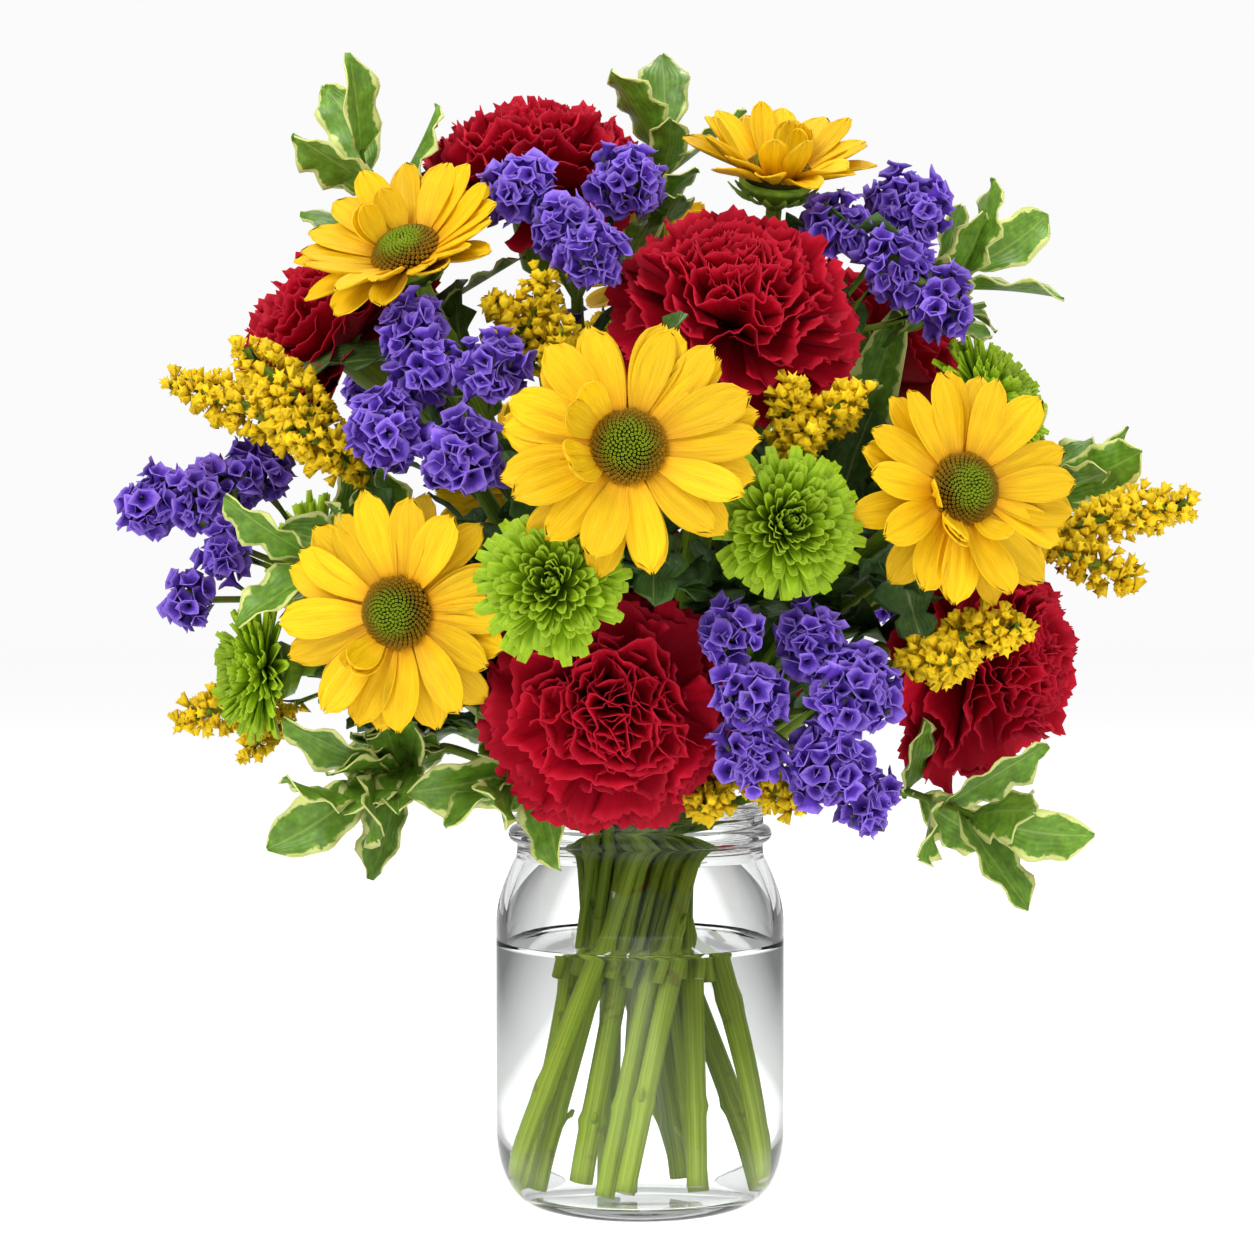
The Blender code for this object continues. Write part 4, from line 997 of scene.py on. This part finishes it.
# ================================================================ jar and water
def closed_lathe(profile, segments, push=None):
    """A solid of revolution whose first and last (radius, height) points lie on the axis."""
    profile = np.asarray(profile, float)
    angle = 2 * np.pi * np.arange(segments) / segments
    middle = profile[1:-1]
    radius = np.repeat(middle[:, :1], segments, axis=1)
    height = np.repeat(middle[:, 1:], segments, axis=1)
    if push is not None:
        radius = radius + push(radius, height, angle[None])
    rings = np.stack([radius * np.cos(angle), radius * np.sin(angle), height], axis=-1).reshape(-1, 3)
    ends = np.array([[0, 0, profile[0, 1]], [0, 0, profile[-1, 1]]])
    a = np.arange(segments)
    b = (a + 1) % segments
    foot, top = len(rings), len(rings) + 1
    last = len(rings) - segments
    fans = np.concatenate([
        np.stack([np.full(segments, foot), b, a], axis=1),
        np.stack([np.full(segments, top), last + a, last + b], axis=1),
    ])
    sculpt = Sculpt()
    points = np.concatenate([rings, ends])
    uv = np.stack([np.zeros(len(points)), points[:, 2]], axis=1)
    sculpt.add(points, ring_faces(len(middle), segments), uv)
    sculpt.tris.append((fans, 0))
    return sculpt


def arc(centre, radii, start, end, steps):
    """Points on an ellipse, angles in degrees from outwards towards up."""
    turn = np.radians(np.linspace(start, end, steps + 1))
    return [(centre[0] + radii[0] * math.cos(a), centre[1] + radii[1] * math.sin(a)) for a in turn]


JarSizes = namedtuple("JarSizes", "body top neck neck_foot shoulder")


def jar_sizes(s):
    """Radii of the body and neck, and heights of the rim, the neck's foot and the shoulder."""
    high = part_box("jar")[1]
    neck_foot = high.z - s.neck_height
    return JarSizes(high.x, high.z, high.x - s.shoulder_step, neck_foot, neck_foot - s.shoulder_height)


def outer_profile(s):
    """From the middle of the foot up the outer wall and over the rim."""
    body, top, neck, _, shoulder = jar_sizes(s)
    foot = s.foot
    points = [(0, 0.9 * MM), (foot * 0.35, 0.9 * MM), (foot * 0.7, 0.8 * MM), (foot * 0.84, 0.45 * MM)]
    points += [(foot * 0.9, 0.05 * MM), (foot * 0.97, 0)]
    points += arc((foot, s.heel), (body - foot, s.heel), -88, 0, 18)
    points += [(body, z) for z in np.linspace(s.heel, shoulder, 24)[1:-1]]
    for t in np.linspace(0, 1, 18):
        drawn_in = s.shoulder_step * (1 - math.cos(t * math.pi / 2))
        points.append((body - drawn_in, shoulder + s.shoulder_height * t))
    bead = top - s.bead_below
    points += [(neck - 0.12 * MM, bead - s.bead - 0.8 * MM)]
    points += arc((neck, bead), (s.bead, s.bead), -78, 78, 12)
    low, high = bead + s.bead + 0.5 * MM, top - 1.6 * MM
    points += [(neck, z) for z in np.linspace(low, high, 22)]
    points += arc((neck - 1.4 * MM, top - 1.4 * MM), (1.4 * MM, 1.4 * MM), 10, 90, 5)
    return points


def inner_radius(s, z):
    """The inner wall's radius at height z."""
    jar = jar_sizes(s)
    inside, foot = jar.body - s.wall, s.foot - s.wall / 2
    if z < s.heel:
        up = max(0, (z - s.floor) / (s.heel - s.floor))
        return foot + (inside - foot) * math.sqrt(max(0, 1 - (1 - up) ** 2))
    up = min(1, max(0, (z - jar.shoulder) / s.shoulder_height))
    return inside - s.shoulder_step * (1 - math.cos(up * math.pi / 2))


def inner_profile(s, top):
    """From the floor's edge up the inner wall."""
    *_, neck_foot, shoulder = jar_sizes(s)
    heights = [*(s.floor + (s.heel - s.floor) * np.linspace(0, 1, 14) ** 2)]
    heights += [*np.linspace(s.heel, shoulder, 20)[1:], *np.linspace(shoulder, neck_foot, 16)[1:]]
    return [(inner_radius(s, z), z) for z in [*heights, neck_foot + 6 * MM, neck_foot + 12 * MM] if z < top]


# ================================================================ settings
class BouquetSettings(bpy.types.PropertyGroup):
    """Sizes and colours that a user may change"""

    daisy_disc: bpy.props.FloatProperty(
        name="Daisy disc", description="Radius of a daisy's disc",
        default=9.5 * MM, unit="LENGTH",
    )
    wall: bpy.props.FloatProperty(
        name="Glass wall", description="Thickness of the jar's wall",
        default=3.0 * MM, unit="LENGTH",
    )
    floor: bpy.props.FloatProperty(
        name="Glass floor", description="Height of the jar's inner floor",
        default=5.0 * MM, unit="LENGTH",
    )
    foot: bpy.props.FloatProperty(
        name="Foot", description="Radius of the flat foot",
        default=30.0 * MM, unit="LENGTH",
    )
    heel: bpy.props.FloatProperty(
        name="Heel", description="Height of the rounded heel",
        default=21.0 * MM, unit="LENGTH",
    )
    shoulder_step: bpy.props.FloatProperty(
        name="Shoulder step", description="Neck inside the body by this",
        default=5.9 * MM, unit="LENGTH",
    )
    shoulder_height: bpy.props.FloatProperty(
        name="Shoulder", description="Height of the shoulder",
        default=20.0 * MM, unit="LENGTH",
    )
    neck_height: bpy.props.FloatProperty(
        name="Neck", description="From the shoulder to the rim",
        default=15.0 * MM, unit="LENGTH",
    )
    bead: bpy.props.FloatProperty(
        name="Bead", description="How far the bead stands out",
        default=2.4 * MM, unit="LENGTH",
    )
    bead_below: bpy.props.FloatProperty(
        name="Bead below rim", description="From the rim to the bead",
        default=9.0 * MM, unit="LENGTH",
    )
    thread: bpy.props.FloatProperty(
        name="Thread", description="How far the thread stands out",
        default=0.9 * MM, unit="LENGTH",
    )
    stem_sides: bpy.props.IntProperty(
        name="Stem sides", description="Sides of a stem's tube",
        default=12, min=6,
    )
    floret: bpy.props.FloatProperty(
        name="Statice floret", description="Length of one papery funnel",
        default=4.4 * MM, unit="LENGTH",
    )
    gold_floret: bpy.props.FloatProperty(
        name="Goldenrod floret", description="Radius of one tiny star",
        default=2.1 * MM, unit="LENGTH",
    )
    yellow: bpy.props.FloatVectorProperty(
        name="Daisy yellow", description="Ray petals",
        default=(0.93, 0.56, 0.003), subtype="COLOR", min=0, max=1,
    )
    crimson: bpy.props.FloatVectorProperty(
        name="Carnation crimson", description="Carnation petals",
        default=(0.46, 0.0012, 0.016), subtype="COLOR", min=0, max=1,
    )
    lime: bpy.props.FloatVectorProperty(
        name="Button lime", description="Button petals",
        default=(0.29, 0.52, 0.010), subtype="COLOR", min=0, max=1,
    )
    violet: bpy.props.FloatVectorProperty(
        name="Statice violet", description="Papery florets",
        default=(0.105, 0.040, 0.42), subtype="COLOR", min=0, max=1,
    )
    gold: bpy.props.FloatVectorProperty(
        name="Goldenrod yellow", description="Tiny florets",
        default=(0.92, 0.60, 0.008), subtype="COLOR", min=0, max=1,
    )
    green: bpy.props.FloatVectorProperty(
        name="Stem green", description="Cut stems",
        default=(0.18, 0.32, 0.022), subtype="COLOR", min=0, max=1,
    )
    leaf: bpy.props.FloatVectorProperty(
        name="Leaf green", description="Middle of the variegated leaves",
        default=(0.13, 0.27, 0.020), subtype="COLOR", min=0, max=1,
    )
    margin: bpy.props.FloatVectorProperty(
        name="Leaf margin", description="Edge of the variegated leaves",
        default=(0.60, 0.64, 0.20), subtype="COLOR", min=0, max=1,
    )
    glass: bpy.props.FloatVectorProperty(
        name="Glass tint", description="Jar glass",
        default=(0.985, 0.995, 0.99), subtype="COLOR", min=0, max=1,
    )
    water: bpy.props.FloatVectorProperty(
        name="Water tint", description="Water",
        default=(0.985, 0.998, 0.99), subtype="COLOR", min=0, max=1,
    )


# ================================================================ operators
class BOUQUET_OT_daisies(bpy.types.Operator):
    """Daisy chrysanthemums: stems, discs and two rings of petals each"""

    bl_idname = "bouquet.daisies"
    bl_label = "Daisies"

    def execute(self, context):
        s = context.scene.bouquet
        yellow, florets, green = yellow_petals(s), disc_florets(), stem_skin(s)
        foliage = leaf_skin("chrysanthemum_leaf", DARK_GREEN, DARK_GREEN, 0.9, 0.5)
        patch, small, leaf = grid_patch(8, 12), grid_patch(2, 4), grid_patch(6, 12)
        heads = obstacle_heads()
        for number in numbers("daisy_"):
            rng = np.random.default_rng(100 + number)
            head = daisy_head(number)
            petals = Sculpt()
            side = rng.uniform(0, 6.28)
            rings = [
                (even_turns(12, 0.5, rng), 1.0, -0.14, -0.1), (even_turns(14, 0, rng), 0.98, 0.02, 0.05),
                (side + rng.uniform(-1.0, 1.0, 3 + number % 3), 0.62, 0.42, 0.7),
            ]
            ray_petals(petals, head, rings, rng, patch, s.daisy_disc)
            piece(petals, f"daisy_{number}_petals", [yellow])
            stem = Sculpt()
            path = plain_stem(stem, head, rng, 0, -7, s.stem_sides)
            swelling(stem, head, -8, 0, -4)
            bracts(stem, head, rng, 16, 8 * MM, 1.6 * MM, (6 * MM, -6.5 * MM), 0.1, 0, small)
            disc_dome(stem, head, s.daisy_disc, 6.6 * MM, rng, 1)
            leaves = stem_leaves(path, rng, heads, 16, 38 * MM, 20 * MM, 124 * MM)
            wavy_leaves(stem, leaves, rng, leaf, 2, 0.2, "lobed", False)
            piece(stem, f"daisy_{number}_stem", [green, florets, foliage])
        return {"FINISHED"}


class BOUQUET_OT_carnations(bpy.types.Operator):
    """Carnations: stems with a calyx and a head of toothed, ruffled petals"""

    bl_idname = "bouquet.carnations"
    bl_label = "Carnations"

    def execute(self, context):
        s = context.scene.bouquet
        crimson, green = crimson_petals(s), stem_skin(s, "carnation_stem", 0.85)
        patch, leaf = grid_patch(28, 11), grid_patch(4, 12)
        foliage = leaf_skin("carnation_leaf", (0.075, 0.15, 0.06), (0.075, 0.15, 0.06), 0.9, 0.55)
        heads = obstacle_heads()
        for number in numbers("carnation_"):
            rng = np.random.default_rng(200 + number)
            head = carnation_head(number)
            petals = Sculpt()
            carnation_petals(petals, head, rng, patch)
            piece(petals, f"carnation_{number}_petals", [crimson])
            stem = Sculpt()
            path = plain_stem(stem, head, rng, 0, -3, s.stem_sides, 45 * MM)
            swelling(stem, head, -4, 0)
            leaves = stem_leaves(path, rng, heads, 7, 42 * MM, 6 * MM, 126 * MM)
            wavy_leaves(stem, leaves, rng, leaf, 1, 0.3, "blade", False)
            piece(stem, f"carnation_{number}_stem", [green, foliage])
        return {"FINISHED"}


class BOUQUET_OT_buttons(bpy.types.Operator):
    """Button chrysanthemums: domes of lime spoon petals on their stems"""

    bl_idname = "bouquet.buttons"
    bl_label = "Buttons"

    def execute(self, context):
        s = context.scene.bouquet
        lime, green = lime_petals(s), stem_skin(s, "button_stem")
        foliage = leaf_skin("button_leaf", DARK_GREEN, DARK_GREEN, 0.9, 0.5)
        patch, small, leaf = grid_patch(2, 6), grid_patch(2, 4), grid_patch(6, 12)
        heads = obstacle_heads()
        for number, name in enumerate(names("button_mum_"), 1):
            rng = np.random.default_rng(300 + number)
            head = button_head(name)
            sculpt = Sculpt()
            button_petals(sculpt, head, rng, patch)
            path = plain_stem(sculpt, head, rng, 1, -1, s.stem_sides, 40 * MM)
            swelling(sculpt, head, -3, 1)
            bracts(sculpt, head, rng, 14, 8 * MM, 1.8 * MM, (3 * MM, -1.5 * MM), -0.2, 1, small)
            leaves = stem_leaves(path, rng, heads, 14, 36 * MM, 19 * MM, 124 * MM)
            wavy_leaves(sculpt, leaves, rng, leaf, 2, 0.2, "lobed", False)
            piece(sculpt, name, [lime, green, foliage])
        return {"FINISHED"}


class BOUQUET_OT_statice(bpy.types.Operator):
    """Statice: branched sprays of papery violet funnels"""

    bl_idname = "bouquet.statice"
    bl_label = "Statice"

    def execute(self, context):
        s = context.scene.bouquet
        violet, green = violet_petals(s), stem_skin(s, "statice_stem", 0.6)
        for number, name in enumerate(names("statice_"), 1):
            rng = np.random.default_rng(400 + number)
            surface = Surface(name)
            spots, directions = surface.scatter(2.7 * MM, 6 * MM, rng)
            directions = unit(directions + 0.3 * rng.normal(size=directions.shape) + [0, -0.1, 0.35])
            sculpt = Sculpt()
            lumps = np.sin(spots @ rng.normal(size=(3, 3)) / (2.6 * MM)).sum(axis=1, keepdims=True)
            sunk = (2.0 + 1.3 * lumps + rng.uniform(-1.2, 1.6, (len(spots), 1))) * MM
            funnel_floret(sculpt, spots - directions * sunk, directions, s.floret, rng)
            surface.core(sculpt, 4.0 * MM, 1)
            piece(sculpt, name, [violet, green])
        return {"FINISHED"}


class BOUQUET_OT_goldenrod(bpy.types.Operator):
    """Goldenrod: plumes of tiny yellow stars"""

    bl_idname = "bouquet.goldenrod"
    bl_label = "Goldenrod"

    def execute(self, context):
        s = context.scene.bouquet
        gold, green = gold_florets(s), stem_skin(s, "goldenrod_stem", 0.8)
        for number, name in enumerate(names("goldenrod_"), 1):
            rng = np.random.default_rng(500 + number)
            surface = Surface(name)
            sculpt = Sculpt()
            for near, far in ((-1.4 * MM, 0.6 * MM), (0.0, 2.8 * MM)):
                spots, directions = surface.scatter(3.1 * MM, 3.4 * MM, rng)
                directions = unit(directions + 0.4 * rng.normal(size=directions.shape) + [0, 0, 0.35])
                spots = spots + directions * rng.uniform(near, far, (len(spots), 1))
                star_floret(sculpt, spots, directions, s.gold_floret, rng)
            surface.core(sculpt, 1.1 * MM, 1)
            piece(sculpt, name, [gold, green])
        return {"FINISHED"}


class BOUQUET_OT_sprigs(bpy.types.Operator):
    """Variegated sprigs: brown twigs with waved, cream-edged leaves"""

    bl_idname = "bouquet.sprigs"
    bl_label = "Sprigs"

    def execute(self, context):
        s = context.scene.bouquet
        leaf = leaf_skin("variegated_leaf", tuple(s.leaf), tuple(s.margin), 0.41)
        twig = stem_skin(s, "twig", 0.5)
        patch = grid_patch(8, 14)
        heads = obstacle_heads()
        for number, name in enumerate(names("sprig_"), 1):
            rng = np.random.default_rng(600 + number)
            path, sizes, leaves = sprig_parts(name)
            sculpt = Sculpt()
            path, sizes = smooth_path(path, sizes, 3 * MM)
            tube(sculpt, path, sizes, 8, 0.4, 1)
            leaves = [(base, tip, normal, wide * 1.2) for base, tip, normal, wide in leaves]
            leaves += stem_leaves(path, rng, heads, 12, 27 * MM, 13 * MM, 122 * MM)
            wavy_leaves(sculpt, leaves, rng, patch, 0, 0.18)
            piece(sculpt, name, [leaf, twig])
        return {"FINISHED"}


class BOUQUET_OT_jar(bpy.types.Operator):
    """The clear jar: foot, heel, shoulder, bead and a raised screw thread"""

    bl_idname = "bouquet.jar"
    bl_label = "Jar"

    def execute(self, context):
        s = context.scene.bouquet
        top, neck = jar_sizes(s)[1:3]
        lip = arc((neck - s.wall + 0.8 * MM, top - 0.8 * MM), (0.8 * MM, 0.8 * MM), 90, 180, 4)
        inner = inner_profile(s, top - 1 * MM)[::-1]
        floor = [(s.foot * out, s.floor + up * MM) for out, up in ((0.6, 0.25), (0.3, 0.6), (0, 0.7))]
        profile = [*outer_profile(s), *lip, *inner, *floor]
        start = top - s.bead_below + s.bead + 1.3 * MM

        def thread(radius, height, angle):
            """A ridge that climbs by one pitch a turn and fades out at both ends."""
            outside = np.clip((radius - (neck - 0.6 * MM)) / (0.4 * MM), 0, 1)
            pitch, half_width, fading = 2.2 * MM, 0.62 * MM, 0.35
            ridge = 0
            for turn, left in ((0, angle), (1, 1.0 - angle)):
                middle = start + pitch * (angle / (2 * np.pi) + turn)
                hump = np.exp(-(((height - middle) / half_width) ** 2))
                ridge = ridge + np.clip(left / fading, 0, 1) * hump
            return outside * s.thread * ridge * (height > start - 1.4 * MM) * (height < top - 1.2 * MM)

        glass = clear("jar_glass", 1.47, s.glass, (0.55, 0.57, 0.56), 45.0)
        piece(closed_lathe(profile, 192, thread), "jar", [glass]).visible_shadow = False
        return {"FINISHED"}


class BOUQUET_OT_water(bpy.types.Operator):
    """The water, with its edge drawn up against the glass"""

    bl_idname = "bouquet.water"
    bl_label = "Water"

    def execute(self, context):
        s = context.scene.bouquet
        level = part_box("water")[1][2]
        wall = [(r + 0.12 * MM, z) for r, z in inner_profile(s, level - 0.5 * MM)]
        rim = wall[-1][0]
        profile = [(s.foot * out, s.floor + up * MM) for out, up in ((0, 0.62), (0.3, 0.52), (0.6, 0.17))]
        profile += [*wall, (rim, level + 1.1 * MM)]
        for gap, rise in ((0.35, 0.75), (0.8, 0.4), (1.6, 0.12), (3.0, 0.0)):
            profile.append((rim - gap * MM, level + rise * MM))
        profile += [(rim * share, level) for share in (0.7, 0.4, 0.15)]
        profile.append((0.0, level))
        water = clear("water", 1.333, s.water, (0.16, 0.17, 0.16), 60.0)
        piece(closed_lathe(profile, 128), "water", [water]).visible_shadow = False
        return {"FINISHED"}


def stage_piece(name, grey, glow):
    """Finishes the object just added as a plain piece of the studio."""
    item = bpy.context.object
    item.name = name
    bpy.ops.object.transform_apply(location=True, rotation=True, scale=True)
    finish = dict(Roughness=0.9, Specular_IOR_Level=0.1, Emission_Strength=glow)
    made, _, shader = shader_of(f"{name}_plain", **finish)
    shader.inputs["Base Color"].default_value = (grey, grey, grey, 1)
    shader.inputs["Emission Color"].default_value = (1, 1, 1, 1)
    item.data.materials.append(made)
    return item


def hidden_card(name, place, turn, size, grey, glow=0.0):
    """A card that shows only in the glass."""
    bpy.ops.mesh.primitive_plane_add(size=1, location=place, rotation=turn)
    bpy.ops.transform.resize(value=size)
    card = stage_piece(name, grey, glow)
    card.visible_camera = card.visible_diffuse = card.visible_shadow = False
    return card


def darker_outwards(card):
    """Fades a low card from the floor's white beside the jar to a dark grey."""
    tree = card.data.materials[0].node_tree
    across = node(tree, "SeparateXYZ", {"Vector": node(tree, "TexCoord").outputs["Object"]}).outputs["X"]
    fading = grey_ramp(tree, maths(tree, "ABSOLUTE", across), ((0.06, 0.95), (0.09, 0.52), (0.3, 0.12)))
    for socket in ("Base Color", "Emission Color"):
        tree.links.new(fading, tree.nodes["Principled BSDF"].inputs[socket])


class BOUQUET_OT_stage(bpy.types.Operator):
    """A plain pale floor under a pale dome, soft lights and the camera"""

    bl_idname = "bouquet.stage"
    bl_label = "Stage"

    def execute(self, context):
        bpy.ops.object.select_all(action="DESELECT")
        bpy.ops.mesh.primitive_plane_add(size=30, location=(0, 0, 0))
        stage_piece("floor", 0.95, 0.33)
        bpy.ops.mesh.primitive_uv_sphere_add(segments=48, ring_count=24, radius=14)
        dome = stage_piece("dome", 0.0, 0.96)
        dome.visible_diffuse = dome.visible_glossy = dome.visible_shadow = False
        for name, side in (("left", -1), ("right", 1)):
            upright, flat = (0, math.pi / 2, 0), (0, 0, 0)
            hidden_card(f"card_{name}", (0.62 * side, -0.3, 0.4), upright, (1, 2.1, 1.3), 0.05)
            low = hidden_card(f"low_card_{name}", (0.65 * side, 0.4, 0.004), flat, (1.18, 2.4, 1), 0.95, 0.33)
            darker_outwards(low)
        hidden_card("card_front", (0, -1.5, 0.5), (math.pi / 2, 0, 0), (3.4, 1, 1.6), 0.25)
        world = bpy.data.worlds.new("studio")
        context.scene.world = world
        world.use_nodes = True
        sky = world.node_tree.nodes["Background"].inputs
        sky["Color"].default_value, sky["Strength"].default_value = (1, 1, 1, 1), 0.66
        context.scene.view_settings.view_transform = "Standard"
        lights = (  # name, place, size, watts
            ("key", (-0.9, -1.1, 1.3), 0.9, 19.0),
            ("fill", (1.2, -0.9, 0.7), 1.2, 7.0),
            ("top", (0.1, 0.2, 1.5), 0.9, 11.0),
        )
        for name, place, size, power in lights:
            lamp = bpy.data.lights.new(name, "AREA")
            lamp.size, lamp.energy = size, power
            item = bpy.data.objects.new(name, lamp)
            item.location = place
            item.rotation_euler = (Vector((0, 0, 0.17)) - Vector(place)).to_track_quat("-Z", "Y").to_euler()
            bpy.context.scene.collection.objects.link(item)
        lens = bpy.data.cameras.new("camera")
        lens.sensor_width, lens.lens = 36.0, 77.5
        lens.shift_x, lens.shift_y = -0.0104, -0.0112
        lens.clip_start, lens.clip_end = 0.05, 20
        camera = bpy.data.objects.new("camera", lens)
        camera.location = (0, -0.775, 0.168)
        camera.rotation_euler = (math.radians(90), 0, 0)
        bpy.context.scene.collection.objects.link(camera)
        bpy.context.scene.camera = camera
        return {"FINISHED"}


class BOUQUET_PT_panel(bpy.types.Panel):
    """Lists the bouquet's pieces and its sizes and colours"""

    bl_label = "Bouquet"
    bl_space_type = "VIEW_3D"
    bl_region_type = "UI"
    bl_category = "Bouquet"

    def draw(self, context):
        for item in OPERATORS:
            self.layout.operator(item.bl_idname)
        for key in BouquetSettings.__annotations__:
            self.layout.prop(context.scene.bouquet, key)


OPERATORS = (
    BOUQUET_OT_daisies, BOUQUET_OT_carnations, BOUQUET_OT_buttons, BOUQUET_OT_statice,
    BOUQUET_OT_goldenrod, BOUQUET_OT_sprigs, BOUQUET_OT_jar, BOUQUET_OT_water, BOUQUET_OT_stage,
)
CLASSES = (BouquetSettings, *OPERATORS, BOUQUET_PT_panel)


def register():
    for item in CLASSES:
        bpy.utils.register_class(item)
    bpy.types.Scene.bouquet = bpy.props.PointerProperty(type=BouquetSettings)


def unregister():
    del bpy.types.Scene.bouquet
    for item in reversed(CLASSES):
        bpy.utils.unregister_class(item)


def main():
    register()
    bpy.ops.bouquet.daisies()
    bpy.ops.bouquet.carnations()
    bpy.ops.bouquet.buttons()
    bpy.ops.bouquet.statice()
    bpy.ops.bouquet.goldenrod()
    bpy.ops.bouquet.sprigs()
    bpy.ops.bouquet.jar()
    bpy.ops.bouquet.water()
    bpy.ops.bouquet.stage()


if __name__ == "__main__":
    main()
